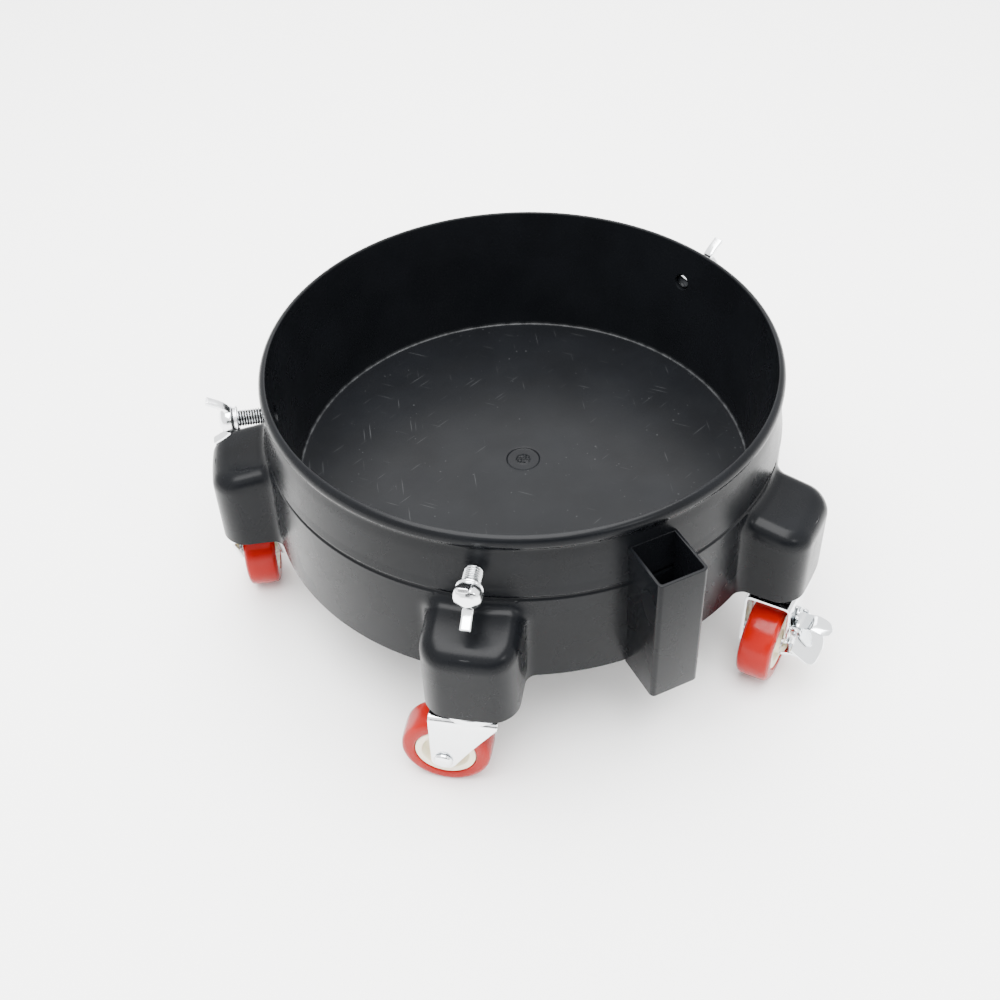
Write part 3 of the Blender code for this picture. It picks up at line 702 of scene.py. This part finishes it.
def tub_inside():
    """Outline from the floor's middle over the gate recess, up the cup and round the rim."""
    # Rows lie close together where the sprue's stub and the screws' holes are.
    stub = in_mm([0.0, 0.8, 1.6, 2.4, 3.1, 3.6, 4.0, 4.5, 5.2, 7.0])
    recess = np.stack([stub, np.full_like(stub, GATE_BOTTOM)], axis=1)
    recess_edge = soften([
        (8.2 * MM, GATE_BOTTOM), (9.7 * MM, GATE_BOTTOM),
        (10.3 * MM, FLOOR_TOP), (12.5 * MM, FLOOR_TOP),
    ], 0.4 * MM, 3)
    floor = [(60.0 * MM, FLOOR_TOP), (105.0 * MM, FLOOR_TOP)]
    corner = soften([
        (FLOOR_RADIUS - 4.0 * MM, FLOOR_TOP),
        (FLOOR_RADIUS - 0.7 * MM, FLOOR_TOP),
        (cup_radius(FLOOR_TOP + 0.5 * MM), FLOOR_TOP + 0.5 * MM),
        (cup_radius(FLOOR_TOP + 5.0 * MM), FLOOR_TOP + 5.0 * MM),
    ], 0.4 * MM, 3)
    heights = np.concatenate([
        [FLOOR_TOP + 12.0 * MM, FLOOR_TOP + 32.0 * MM],
        np.linspace(SCREW_HEIGHT - 7.0 * MM, SCREW_HEIGHT + 7.0 * MM, 8),
        [RIM_CREST - 9.0 * MM],
    ])
    wall = [(cup_radius(height), height) for height in heights]
    mouth = soften([
        (cup_radius(RIM_CREST - 6.0 * MM), RIM_CREST - 6.0 * MM),
        (MOUTH_RADIUS - 0.1 * MM, RIM_CREST - 0.2 * MM),
        (MOUTH_RADIUS + 1.0 * MM, RIM_CREST),
    ], 0.9 * MM, 5)[:-1]
    middle = (RIM_RADIUS - 3.6 * MM, RIM_HEIGHT - 0.2 * MM)
    crown = ellipse(middle, 3.9 * MM, 5.0 * MM, 1.0, 0.0, 12)
    under = ellipse(middle, 3.9 * MM, 3.6 * MM, 0.0, -0.62, 6)[1:]
    neck = soften([
        under[-1],
        (RIM_RADIUS - 1.6 * MM, RIM_HEIGHT - 4.6 * MM),
        (RIM_RADIUS - 0.9 * MM, RIM_HEIGHT - 9.0 * MM),
    ], 1.5 * MM, 6)[1:]
    return np.vstack([recess, recess_edge, floor, corner, wall, mouth, crown, under, neck])


def tub_band():
    """Outline of the upper band, from under the rim to just below the groove."""
    share = np.linspace(0.0, 1.0, 10)[:, None]
    top = np.array([RIM_RADIUS - 0.6 * MM, RIM_HEIGHT - 11.0 * MM])
    low = np.array([RIM_RADIUS + 1.2 * MM, GROOVE_HEIGHT + 8.0 * MM])
    groove = soften([
        (RIM_RADIUS + 1.3 * MM, GROOVE_HEIGHT + 7.0 * MM),
        (GROOVE_RADIUS, GROOVE_HEIGHT + 1.9 * MM),
        (GROOVE_RADIUS - 1.3 * MM, GROOVE_HEIGHT + 0.5 * MM),
        (GROOVE_RADIUS - 1.3 * MM, GROOVE_HEIGHT - 0.7 * MM),
        (skirt_radius(GROOVE_HEIGHT - 1.8 * MM), GROOVE_HEIGHT - 1.8 * MM),
    ], 0.7 * MM, 4)
    return np.vstack([top + (low - top) * share, groove])


def tub_underside(settings):
    """Outline inside the double wall: up the skirt's inner side, down the cup and under the floor."""
    cup_bottom = cup_radius(FLOOR_BOTTOM) + settings.wall
    return soften([
        (GROOVE_RADIUS - 1.2 * MM - settings.wall, GROOVE_HEIGHT + 2.0 * MM),
        (cup_radius(CAVITY_TOP) + settings.wall + 2.2 * MM, CAVITY_TOP),
        (cup_radius(CAVITY_TOP) + settings.wall, CAVITY_TOP),
        (cup_bottom, FLOOR_BOTTOM + 4.0 * MM),
        (cup_bottom - 3.0 * MM, FLOOR_BOTTOM),
        (70.0 * MM, FLOOR_BOTTOM),
        (0.0, FLOOR_BOTTOM),
    ], 1.2 * MM, 3)


def tub_shell(settings):
    """The whole tub but its socket and bosses, as one closed grid.

    Rows run from the middle of the floor up the cup, over the rim, down the skirt and the pods,
    round the bottom edge, up inside the double wall and back to the middle under the floor.
    """
    angles = column_angles(settings.columns)
    inside = tub_inside()
    outer = shell_rows(angles, 0.0, settings, 60)
    inner = shell_rows(angles, settings.wall, settings, 12)
    edge = 0.5 * (outer[0][-1:] + inner[0][-1:]), np.full_like(outer[1][-1:], POD_BOTTOM)
    parts = [
        ring_rows(inside, angles), ring_rows(tub_band(), angles), outer, edge,
        (inner[0][::-1], inner[1][::-1]), ring_rows(tub_underside(settings), angles),
    ]
    radius = np.vstack([part[0] for part in parts])
    height = np.vstack([part[1] for part in parts])
    x = radius * np.cos(angles)
    y = radius * np.sin(angles)
    height[:len(inside)] += gate_mark(x, y)[:len(inside)]
    return np.stack([x, y, height], axis=-1)[::-1]


def boss_shells():
    """Tubes inside the pods that hold the brass inserts."""
    outline = soften([
        (BOSS_BORE, BOSS_BOTTOM + 0.4 * MM), (BOSS_BORE, BOSS_BOTTOM), (BOSS_RADIUS, BOSS_BOTTOM),
        (BOSS_RADIUS, BOSS_TOP), (BOSS_BORE, BOSS_TOP), (BOSS_BORE, BOSS_BOTTOM + 0.4 * MM),
    ], 0.5 * MM, 2)
    tube = lathe(outline, 48)
    return [put(tube, castor_frame(name)) for name in CASTORS]


def socket_shell(settings):
    """Handle socket: a deep square cup whose back lies in the skirt.

    Its plan is a rectangle with round outer corners, carried along a section that runs up the
    outside, over the rim and down the inside. The back edge follows the skirt's slope.
    """
    half = settings.socket_width / 2.0
    wall = settings.socket_wall
    section = soften([
        (half, SOCKET_BOTTOM), (0.0, SOCKET_BOTTOM), (0.0, SOCKET_TOP), (wall, SOCKET_TOP),
        (wall, SOCKET_FLOOR), (half, SOCKET_FLOOR),
    ], 0.45 * MM, 3)
    inset, height = section.T[:, :, None]
    wide = np.maximum(half - inset, 0.0)
    corner = np.minimum(np.maximum(2.8 * MM - 0.8 * inset, 0.4 * MM), wide)
    past_groove = np.maximum(height - GROOVE_HEIGHT, 0.0)
    back = skirt_radius(height - past_groove) - 1.5 * MM + 0.35 * np.minimum(inset, wall)
    back = back - 0.05 * past_groove
    front = SOCKET_OUTER - np.minimum(inset, wall)
    quarter = np.linspace(0.0, math.pi / 2.0, 9)
    x = np.hstack([
        back, back, front - corner + corner * np.sin(quarter), front - corner + corner * np.cos(quarter),
    ])
    y = np.hstack([
        wide, -wide, -wide + corner - corner * np.cos(quarter), wide - corner + corner * np.sin(quarter),
    ])
    # Both floors close on their middles.
    closed = inset > wall
    x = np.where(closed, 0.5 * (front + back), x)
    y = np.where(closed, 0.0, y)
    rows = np.stack([x, y, np.broadcast_to(height, x.shape)], axis=-1)
    turn = np.array(Matrix.Rotation(-math.pi / 2.0, 4, "Z"))
    return put(rows, turn)


def bore_bar(settings, name):
    """A plain bar along a screw's axis that passes through the wall under the rim."""
    base = screw_frame(name)
    wall = float(np.linalg.norm(base[:2, 3])) - (RIM_RADIUS - 2.0 * MM)
    half = 16.0 * MM
    outline = [
        (0.0, wall - half), (settings.bore, wall - half), (settings.bore, wall + half), (0.0, wall + half),
    ]
    return put(lathe(outline, 48), base)


def bored_shell(settings):
    """The tub's shell with the screws' holes cut through the wall under the rim."""
    shell = bpy.data.objects.new("shell", mesh_of("shell", [tub_shell(settings)]))
    bars = [bore_bar(settings, name) for name in SCREWS]
    cutter = bpy.data.objects.new("bores", mesh_of("bores", bars))
    for item in (shell, cutter):
        bpy.context.scene.collection.objects.link(item)
    add_modifier(shell, "BOOLEAN", operation="DIFFERENCE", solver="EXACT", object=cutter)
    finished = shell.evaluated_get(bpy.context.evaluated_depsgraph_get())
    mesh = bpy.data.meshes.new_from_object(finished)
    for item in (shell, cutter):
        bpy.data.objects.remove(item)
    return mesh


class DOLLY_OT_tub(Operator):
    """Build the moulded tub with its pods, bosses and handle socket"""

    bl_idname = "dolly.tub"
    bl_label = "Tub"

    def execute(self, context):
        settings = context.scene.dolly_tub
        mesh = mesh_of("tub", [socket_shell(settings)] + boss_shells())
        work = bmesh.new()
        work.from_mesh(mesh)
        work.from_mesh(bored_shell(settings))
        work.to_mesh(mesh)
        work.free()
        add_piece("tub", mesh, FINISHES["tub"], 50.0)
        return {"FINISHED"}


# --- Castors ---------------------------------------------------------------------------------

def fork_leg_edges(height):
    """Leading and trailing edge of a leg at a height.

    The leading edge is a slant that touches the round foot, and the trailing edge is upright.
    """
    slant_top = CROWN_TOP - 3.5 * MM
    across = TRAIL + FORK_FRONT
    down = slant_top - WHEEL_RADIUS
    touch = math.atan2(down, across) + math.asin(FOOT_RADIUS / math.hypot(across, down))
    meet_x = TRAIL - FOOT_RADIUS * math.sin(touch)
    meet_z = WHEEL_RADIUS - FOOT_RADIUS * math.cos(touch)
    span = np.sqrt(np.maximum(FOOT_RADIUS ** 2 - (height - WHEEL_RADIUS) ** 2, 0.0))
    share = np.clip((height - meet_z) / (slant_top - meet_z), 0.0, 1.0)
    slant = meet_x - (meet_x + FORK_FRONT) * (share - 0.1 * share * (1.0 - share))
    leading = np.where(height < meet_z, TRAIL - span, slant)
    trailing = np.where(height < WHEEL_RADIUS, np.minimum(TRAIL + span, FORK_BACK), FORK_BACK)
    return leading, trailing


def fork_grid(settings):
    """Middle surface of the pressed fork.

    Rows run up the inner leg, over the crown and down the outer leg. Columns run from the trailing
    to the leading edge.
    """
    side = FORK_HALF - settings.sheet / 2.0
    top = CROWN_TOP - settings.sheet / 2.0
    bend = settings.bend
    round_foot = WHEEL_RADIUS - FOOT_RADIUS * np.cos(np.linspace(0.0, math.pi / 2.0, 9))
    leg = np.concatenate([round_foot, np.linspace(WHEEL_RADIUS + 4.5 * MM, top - bend, 12)])
    quarter = np.linspace(0.0, math.pi / 2.0, 7)[1:-1]
    half_y = np.concatenate([np.full_like(leg, side), side - bend + bend * np.cos(quarter)])
    half_z = np.concatenate([leg, top - bend + bend * np.sin(quarter)])
    crown_y = np.linspace(-(side - bend), side - bend, 25)
    y = np.concatenate([-half_y, crown_y, half_y[::-1]])
    z = np.concatenate([half_z, np.full_like(crown_y, top), half_z[::-1]])
    leading, trailing = fork_leg_edges(z)
    share = np.linspace(0.0, 1.0, 33)[None, :]
    x = trailing[:, None] + (leading - trailing)[:, None] * share
    return np.stack([x, y[:, None] + np.zeros_like(x), z[:, None] + np.zeros_like(x)], axis=-1)


class DOLLY_OT_forks(Operator):
    """Build the pressed fork of every castor"""

    bl_idname = "dolly.forks"
    bl_label = "Castor forks"

    def execute(self, context):
        settings = context.scene.dolly_castor
        for name in CASTORS:
            base = castor_frame(name)
            grids = [fork_grid(settings)]
            if name == BRAKED:
                offset = pin_frame()[:3, 3] - base[:3, 3]
                grids += brake_ears(settings, (float(offset @ base[:3, 1]), float(offset[2])))
            node = f"{name}_castor_fork"
            mesh = mesh_of(node, [put(grid, base) for grid in grids], wrap=False)
            fork = add_piece(node, mesh, FINISHES["zinc"], 60.0)
            make_sheet_metal(fork, settings.sheet, edge=0.35 * MM)
        return {"FINISHED"}


def ball_grids(settings, height):
    """A ring of balls round the swivel axis."""
    radius = settings.ball / 2.0
    ball = lathe(ellipse((0.0, 0.0), radius, radius, -1.0, 1.0, 8), 14)
    around = np.linspace(0.0, 2.0 * math.pi, settings.balls, endpoint=False)
    x = BALL_CIRCLE * np.cos(around)
    y = BALL_CIRCLE * np.sin(around)
    centres = np.stack([x, y, np.full_like(around, height)], axis=1)
    return [ball + centre for centre in centres]


def race_outline(dish, top):
    """Outline of the pressed race: flat over the balls, its edge turned down towards the crown."""
    bore = 5.3 * MM
    outer = 17.0 * MM
    lip = CROWN_TOP + 0.6 * MM
    return soften([
        (bore, dish + 0.5 * MM), (bore, dish), (outer - 2.6 * MM, dish), (outer - 1.4 * MM, lip),
        (outer, lip), (outer, top - 0.8 * MM), (outer - 0.8 * MM, top), (bore, top),
        (bore, dish + 0.5 * MM),
    ], 0.5 * MM, 4)


def kingpin_outline(low, high):
    """Outline of the kingpin: a bevelled head under the crown and a plain shank."""
    head = 7.2 * MM
    shank = 5.0 * MM
    head_high = low + 3.0 * MM
    return soften([
        (0.0, low), (head - 2.4 * MM, low), (head, low + 1.3 * MM), (head, head_high),
        (shank, head_high), (shank, high - 1.0 * MM), (shank - 1.0 * MM, high), (0.0, high),
    ], 0.5 * MM, 4)


class DOLLY_OT_bearings(Operator):
    """Build the race, the balls and the kingpin of every castor, and finish its insert in brass"""

    bl_idname = "dolly.bearings"
    bl_label = "Castor bearings"

    def execute(self, context):
        settings = context.scene.dolly_castor
        race_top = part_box("back_castor_race")[1][2]
        dish = race_top - 3.4 * MM
        race = race_outline(dish, race_top)
        kingpin = kingpin_outline(*(corner[2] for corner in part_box("back_castor_kingpin")))
        ball_height = 0.5 * (CROWN_TOP + dish)
        for name in CASTORS:
            base = castor_frame(name)
            for part, grids, finish in (
                ("race", [lathe(race, 72)], "zinc"),
                ("kingpin", [lathe(kingpin, 40)], "steel"),
                ("ball_ring", ball_grids(settings, ball_height), "ball"),
            ):
                node = f"{name}_castor_{part}"
                add_piece(node, mesh_of(node, [put(grid, base) for grid in grids]), FINISHES[finish])
            insert = frame["nodes"][f"{name}_castor_insert"]
            insert.data.materials.clear()
            insert.data.materials.append(FINISHES["brass"])
        return {"FINISHED"}


def thread_ripple(pitch, depth, start, end):
    """A V-shaped thread cut into a round bar between two heights.

    The cut's depth depends on height over pitch less the turn, so that it winds as a helix. Its
    bottom is a fifth of the pitch wide, and it runs out over one pitch at each end.
    """
    def ripple(turn, height):
        phase = np.mod(height / pitch - turn / (2.0 * math.pi), 1.0)
        cut = np.clip(1.25 - 2.5 * np.abs(phase - 0.5), 0.0, 1.0)
        fade = np.clip((height - start) / pitch, 0.0, 1.0) * np.clip((end - height) / pitch, 0.0, 1.0)
        return -depth * cut * fade
    return ripple


def threaded_bar(radius, start, end, pitch, depth, segments):
    """A round bar with a thread and bevelled ends."""
    rows = int((end - start) / pitch * 12)
    bevel = depth * 1.2
    heights = np.linspace(start + bevel, end - bevel, rows)
    outline = np.vstack([
        [(0.0, start), (radius - bevel, start)],
        np.stack([np.full_like(heights, radius), heights], axis=1),
        [(radius - bevel, end), (0.0, end)],
    ])
    return lathe(outline, segments, thread_ripple(pitch, depth, start, end - 0.4 * pitch))


def mark_groove_shade(mesh, base, crest, depth):
    """Store on a threaded piece how deep each point lies under the thread's crest, from 0 to 1.

    Points deeper than the thread are on the bar's ends, and count as 0.
    """
    points = np.zeros(len(mesh.vertices) * 3)
    mesh.vertices.foreach_get("co", points)
    local = (points.reshape(-1, 3) - base[:3, 3]) @ base[:3, :3]
    under = (crest - np.hypot(local[:, 0], local[:, 1])) / depth
    # This depth is where the metal's shader paints shade into the thread's grooves.
    values = mesh.attributes.new("groove", "FLOAT", "POINT")
    values.data.foreach_set("value", np.where(under <= 1.1, np.clip(under, 0.0, 1.0), 0.0))


def axle_outline():
    """Outline of the axle: a low head on the inner leg and a domed rivet head on the outer one."""
    leg = FORK_HALF + 0.3 * MM
    shank = 3.0 * MM
    return soften([
        (0.0, -leg - 0.9 * MM), (3.2 * MM, -leg - 0.9 * MM), (4.2 * MM, -leg), (shank, -leg),
        (shank, leg), (5.3 * MM, leg), (5.4 * MM, leg + 0.7 * MM), (4.7 * MM, leg + 1.9 * MM),
        (2.4 * MM, leg + 2.7 * MM), (0.0, leg + 2.7 * MM),
    ], 0.7 * MM, 4)


class DOLLY_OT_wheels(Operator):
    """Build the tyre, the core, the axle and its sleeve for every castor"""

    bl_idname = "dolly.wheels"
    bl_label = "Castor wheels"

    def execute(self, context):
        tyre = soften(both_sides(in_mm([
            (17.5, 0.0), (17.5, 9.9), (22.6, 9.9), (25.0, 8.4), (25.5, 4.5),
        ])), 1.3 * MM, 5)
        core = soften(both_sides(in_mm([
            (4.9, 0.0), (4.9, 10.4), (7.0, 10.4), (8.0, 3.6), (12.2, 3.6), (13.4, 9.3), (17.2, 9.3),
        ])), 0.6 * MM, 3)
        sleeve_end = FORK_HALF - 2.1 * MM
        sleeve = soften(both_sides(np.array([
            (3.3 * MM, 0.0), (3.3 * MM, sleeve_end), (4.6 * MM, sleeve_end),
        ])), 0.3 * MM, 2)
        axle = axle_outline()
        for name in CASTORS:
            base = axle_frame(name)
            for part, grids, finish in (
                ("tyre", [lathe(tyre, 128)], "tyre"),
                ("core", [lathe(core, 96)], "core"),
                ("axle", [lathe(axle, 48)], "zinc"),
                ("axle_sleeve", [lathe(sleeve, 48)], "steel"),
            ):
                node = f"{name}_castor_{part}"
                add_piece(node, mesh_of(node, [put(grid, base) for grid in grids]), FINISHES[finish])
        return {"FINISHED"}


# --- Brake -----------------------------------------------------------------------------------

def bent_plate(path, start, end, tip_round, bow):
    """Middle surface of a bent plate with round corners at its tip.

    The path of (outwards, up) points is softened and carried from start to end along the trail.
    Towards the tip the plate narrows as an ellipse, and it bows up across its width.
    """
    curve = soften(path, 2.4 * MM, 5)
    gone = np.concatenate([[0.0], np.cumsum(np.linalg.norm(np.diff(curve, axis=0), axis=1))])
    along = 0.5 - 0.5 * np.cos(np.linspace(0.0, math.pi, 25))
    y = np.interp(along * gone[-1], gone, curve[:, 0])
    z = np.interp(along * gone[-1], gone, curve[:, 1])
    from_tip = np.clip((1.0 - along) * gone[-1] / tip_round, 0.0, 1.0)
    half = (end - start) / 2.0
    width = half - min(tip_round, half) * (1.0 - np.sqrt(1.0 - (1.0 - from_tip) ** 2))
    across = np.linspace(-1.0, 1.0, 17)[None, :]
    x = (start + end) / 2.0 + width[:, None] * across
    z = z[:, None] + bow * (1.0 - across ** 2) * along[:, None]
    return np.stack([x, y[:, None] + np.zeros_like(x), z], axis=-1)


def rolled_barrel(radius, start, end):
    """Middle surface of a sheet rolled into a tube round the Z axis."""
    turn = np.linspace(0.0, 2.0 * math.pi, 33)[None, :] + np.zeros((2, 1))
    along = np.array([[start], [end]]) + np.zeros_like(turn)
    return np.stack([radius * np.cos(turn), radius * np.sin(turn), along], axis=-1)


def brake_ears(settings, origin):
    """Middle surfaces of the two ears on the fork's outer leg that hold the brake pin.

    Each ear is a plate across the trail: straight from the leg, and round about the pin.
    """
    across, up = origin
    root = FORK_HALF - 0.5 * settings.sheet
    turn = np.linspace(-math.pi / 2.0, math.pi / 2.0, 17)
    outer_y = np.concatenate([[root], across + EAR_HALF * np.cos(turn), [root]])
    outer_z = np.concatenate([[up - EAR_HALF], up + EAR_HALF * np.sin(turn), [up + EAR_HALF]])
    share = np.linspace(0.0, 1.0, 3)[:, None]
    y = root + (outer_y - root)[None, :] * share
    z = np.broadcast_to(outer_z, y.shape)
    middles = [place + 0.5 * settings.sheet for place in EAR_PLACES]
    return [np.stack([np.full_like(y, middle), y, z], axis=-1) for middle in middles]


# The pedal's leaves: an upper one, a long lower one, a tab that stands up, and the shoe. Each has
# its path in mm outwards and up from the pin, where it starts and ends along the trail, how round
# its tip is, and how far it bows.
PEDAL_LEAVES = (
    ([(1.6, 1.8), (8.0, 3.8), (18.8, 1.2)], 4.8, 16.6, 5.6, 1.2),
    ([(1.8, -1.0), (8.2, -5.0), (15.9, -10.6)], 5.2, 32.6, 7.6, 1.6),
    ([(-0.4, 2.0), (-1.2, 6.0), (-1.7, 11.4)], 5.8, 15.0, 4.4, 0.0),
    ([(6.4, -3.9), (-0.8, -4.7), (-4.7, -7.2)], 24.6, 32.2, 1.6, 0.0),
)


class DOLLY_OT_brake(Operator):
    """Build the brake pedal and its pin on the braked castor"""

    bl_idname = "dolly.brake"
    bl_label = "Brake"

    def execute(self, context):
        settings = context.scene.dolly_castor
        base = castor_frame(BRAKED)
        pin = pin_frame()
        origin = pin[:3, 3] - base[:3, 3]
        across = float(origin @ base[:3, 1])
        up = float(origin @ UP)
        grids = []
        for path, start, end, tip_round, bow in PEDAL_LEAVES:
            points = in_mm(path) + (across, up)
            grid = bent_plate(points, start * MM, end * MM, tip_round * MM, bow * MM)
            grids.append(put(grid, base))
        grids.append(put(rolled_barrel(2.6 * MM, 4.7 * MM, 17.1 * MM), pin))
        node = f"{BRAKED}_brake_pedal"
        pedal = add_piece(node, mesh_of(node, grids, wrap=False), FINISHES["zinc"], 60.0)
        make_sheet_metal(pedal, settings.pedal_sheet, edge=0.4 * MM)

        rivet = soften(in_mm([(0.0, 0.6), (1.5, 0.6), (1.5, 21.2), (0.0, 21.2)]), 0.4 * MM, 4)
        node = f"{BRAKED}_brake_pin"
        add_piece(node, mesh_of(node, [put(lathe(rivet, 32), pin)]), FINISHES["steel"])
        return {"FINISHED"}


# --- Wing screws -----------------------------------------------------------------------------

def wing_grid(settings, side):
    """One wing: a bar with round edges along a curve that leaves the hub and bends outwards."""
    path = soften(in_mm([(3.0, -4.6), (7.8, -5.4), (11.2, -9.4), (15.0, -16.2)]), 2.4 * MM, 6)
    ahead = np.gradient(path, axis=0)
    ahead = ahead / np.linalg.norm(ahead, axis=1, keepdims=True)
    normal = np.stack([-ahead[:, 1], ahead[:, 0]], axis=1)
    gone = np.linspace(0.0, 1.0, len(path))
    thick = settings.wing_thickness / 2.0 * (1.15 - 0.15 * gone)
    wide = settings.wing_width / 2.0
    turn = np.linspace(0.0, 2.0 * math.pi, 24, endpoint=False)
    # A squared circle: the wing's section is nearly a rectangle with soft corners.
    across = np.sign(np.cos(turn)) * np.abs(np.cos(turn)) ** 0.45
    through = np.sign(np.sin(turn)) * np.abs(np.sin(turn)) ** 0.45
    centre = path[:, None, :] + normal[:, None, :] * (thick[:, None] * through[None, :])[..., None]
    x = side * centre[..., 0]
    y = np.broadcast_to(side * wide * across, x.shape)
    grid = np.stack([x, y, centre[..., 1]], axis=-1)
    ends = [np.broadcast_to(row.mean(axis=0), row.shape) for row in (grid[0], grid[-1])]
    return np.concatenate([[ends[0]], grid, [ends[1]]])


class DOLLY_OT_wing_screws(Operator):
    """Build the threaded shank and the cast wing head of every clamping screw"""

    bl_idname = "dolly.wing_screws"
    bl_label = "Wing screws"

    def execute(self, context):
        settings = context.scene.dolly_screw
        hub = soften(in_mm([
            (0.0, -11.0), (3.6, -11.0), (7.0, -9.0), (8.0, -6.0), (7.6, -3.4), (6.0, -1.9),
            (7.3, -1.3), (7.3, 0.0), (0.0, 0.0),
        ]), 1.1 * MM, 5)
        for name in SCREWS:
            base = screw_frame(name)
            wing = f"{name}_screw_wing"
            shank = f"{name}_screw_shank"
            grids = [lathe(hub, 64), wing_grid(settings, 1.0), wing_grid(settings, -1.0)]
            head = add_piece(wing, mesh_of(wing, [put(grid, base) for grid in grids]), FINISHES["casting"])
            add_modifier(head, "REMESH", mode="VOXEL", voxel_size=0.34 * MM, use_smooth_shade=True)
            add_modifier(head, "SMOOTH", factor=0.5, iterations=5)

            tip = float(np.linalg.norm(base[:2, 3])) - SCREW_TIP
            bar = threaded_bar(SCREW_RADIUS, -1.0 * MM, tip, settings.pitch, settings.thread, 48)
            mesh = mesh_of(shank, [put(bar, base)])
            mark_groove_shade(mesh, base, SCREW_RADIUS, settings.thread)
            add_piece(shank, mesh, FINISHES["zinc"], 180.0)
        return {"FINISHED"}


# --- Stage -----------------------------------------------------------------------------------

STAGE_HALF = 6.0
CARD_CORNERS = ((-1.6, -1.5, 0.35), (0.7, -2.1, 0.35), (0.7, -2.1, 1.15), (-1.6, -1.5, 1.15))
LIGHT_AIM = (0.0, 0.0, 0.1)
CAMERA_PLACE = (-0.2697, -0.5578, 0.6530)
CAMERA_TILT = math.radians(44.099)    # down from level
CAMERA_PAN = math.radians(24.387)     # from +Y towards +X
CAMERA_ROLL = math.radians(-2.420)
SENSOR_WIDTH = 36.0


def add_area_light(name, place, size, power):
    """A soft light, as wide and high as its size, that points at the dolly."""
    data = bpy.data.lights.new(name, "AREA")
    data.shape = "RECTANGLE"
    data.size, data.size_y = size
    data.energy = power
    lamp = bpy.data.objects.new(name, data)
    bpy.context.scene.collection.objects.link(lamp)
    away = np.array(place) - LIGHT_AIM
    away = away / np.linalg.norm(away)
    side = np.cross(UP, away)
    side = side / np.linalg.norm(side)
    lamp.matrix_world = Matrix(matrix_from(side, np.cross(away, side), away, place).tolist())


def add_stage_plane(name, corners, material):
    """A flat four-sided piece of the stage."""
    mesh = bpy.data.meshes.new(name)
    mesh.from_pydata(corners, [], [(0, 1, 2, 3)])
    mesh.materials.append(material)
    plane = bpy.data.objects.new(name, mesh)
    bpy.context.scene.collection.objects.link(plane)


class DOLLY_OT_stage(Operator):
    """Build the floor, the soft light and the camera"""

    bl_idname = "dolly.stage"
    bl_label = "Stage"

    def execute(self, context):
        settings = context.scene.dolly_stage
        corners = [(STAGE_HALF * x, STAGE_HALF * y, 0.0) for x, y in ((-1, -1), (1, -1), (1, 1), (-1, 1))]
        add_stage_plane("studio_floor", corners, painted_floor(settings))
        # A dark card behind the camera gives the bright metal something to contrast with.
        add_stage_plane("dark_card", CARD_CORNERS, dark_card())

        world = bpy.data.worlds.new("white_surround")
        world.use_nodes = True
        background = world.node_tree.nodes["Background"].inputs
        background["Color"].default_value = (1.0, 1.0, 1.0, 1.0)
        background["Strength"].default_value = settings.surround
        context.scene.world = world

        add_area_light("overhead_light", (-0.1, -0.1, 1.6), (1.5, 1.7), settings.key)
        add_area_light("back_light", (0.55, 1.15, 1.45), (1.6, 0.9), settings.back)
        add_area_light("front_light", (0.35, -1.3, 0.9), (0.20, 0.07), settings.front)

        camera = bpy.data.cameras.new("camera")
        camera.lens = settings.lens
        camera.sensor_width = SENSOR_WIDTH
        item = bpy.data.objects.new("camera", camera)
        context.scene.collection.objects.link(item)
        level = Euler((math.pi / 2.0 - CAMERA_TILT, 0.0, -CAMERA_PAN)).to_matrix()
        turn = level @ Matrix.Rotation(CAMERA_ROLL, 3, "Z")
        item.matrix_world = Matrix.Translation(CAMERA_PLACE) @ turn.to_4x4()
        context.scene.camera = item
        return {"FINISHED"}


# --- Add-on ----------------------------------------------------------------------------------

OPERATORS = (
    DOLLY_OT_stage, DOLLY_OT_tub, DOLLY_OT_forks, DOLLY_OT_bearings, DOLLY_OT_wheels,
    DOLLY_OT_brake, DOLLY_OT_wing_screws,
)
SETTINGS = {
    "dolly_tub": DollyTubSettings,
    "dolly_castor": DollyCastorSettings,
    "dolly_screw": DollyScrewSettings,
    "dolly_stage": DollyStageSettings,
}


class DOLLY_PT_panel(Panel):
    """Lists the dolly's pieces and their settings"""

    bl_idname = "DOLLY_PT_panel"
    bl_label = "Drum Dolly"
    bl_space_type = "VIEW_3D"
    bl_region_type = "UI"
    bl_category = "Dolly"

    def draw(self, context):
        for operator in OPERATORS:
            self.layout.operator(operator.bl_idname)
        for group in SETTINGS:
            box = self.layout.box()
            values = getattr(context.scene, group)
            for key in values.__annotations__:
                box.prop(values, key)


def register():
    for cls in (*SETTINGS.values(), *OPERATORS, DOLLY_PT_panel):
        bpy.utils.register_class(cls)
    for name, group in SETTINGS.items():
        setattr(bpy.types.Scene, name, PointerProperty(type=group))


def unregister():
    for name in SETTINGS:
        delattr(bpy.types.Scene, name)
    for cls in reversed((*SETTINGS.values(), *OPERATORS, DOLLY_PT_panel)):
        bpy.utils.unregister_class(cls)


def main():
    """Register the add-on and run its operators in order."""
    register()
    make_finishes(bpy.context.scene)
    for operator in OPERATORS:
        group, action = operator.bl_idname.split(".")
        getattr(getattr(bpy.ops, group), action)()


if __name__ == "__main__":
    main()
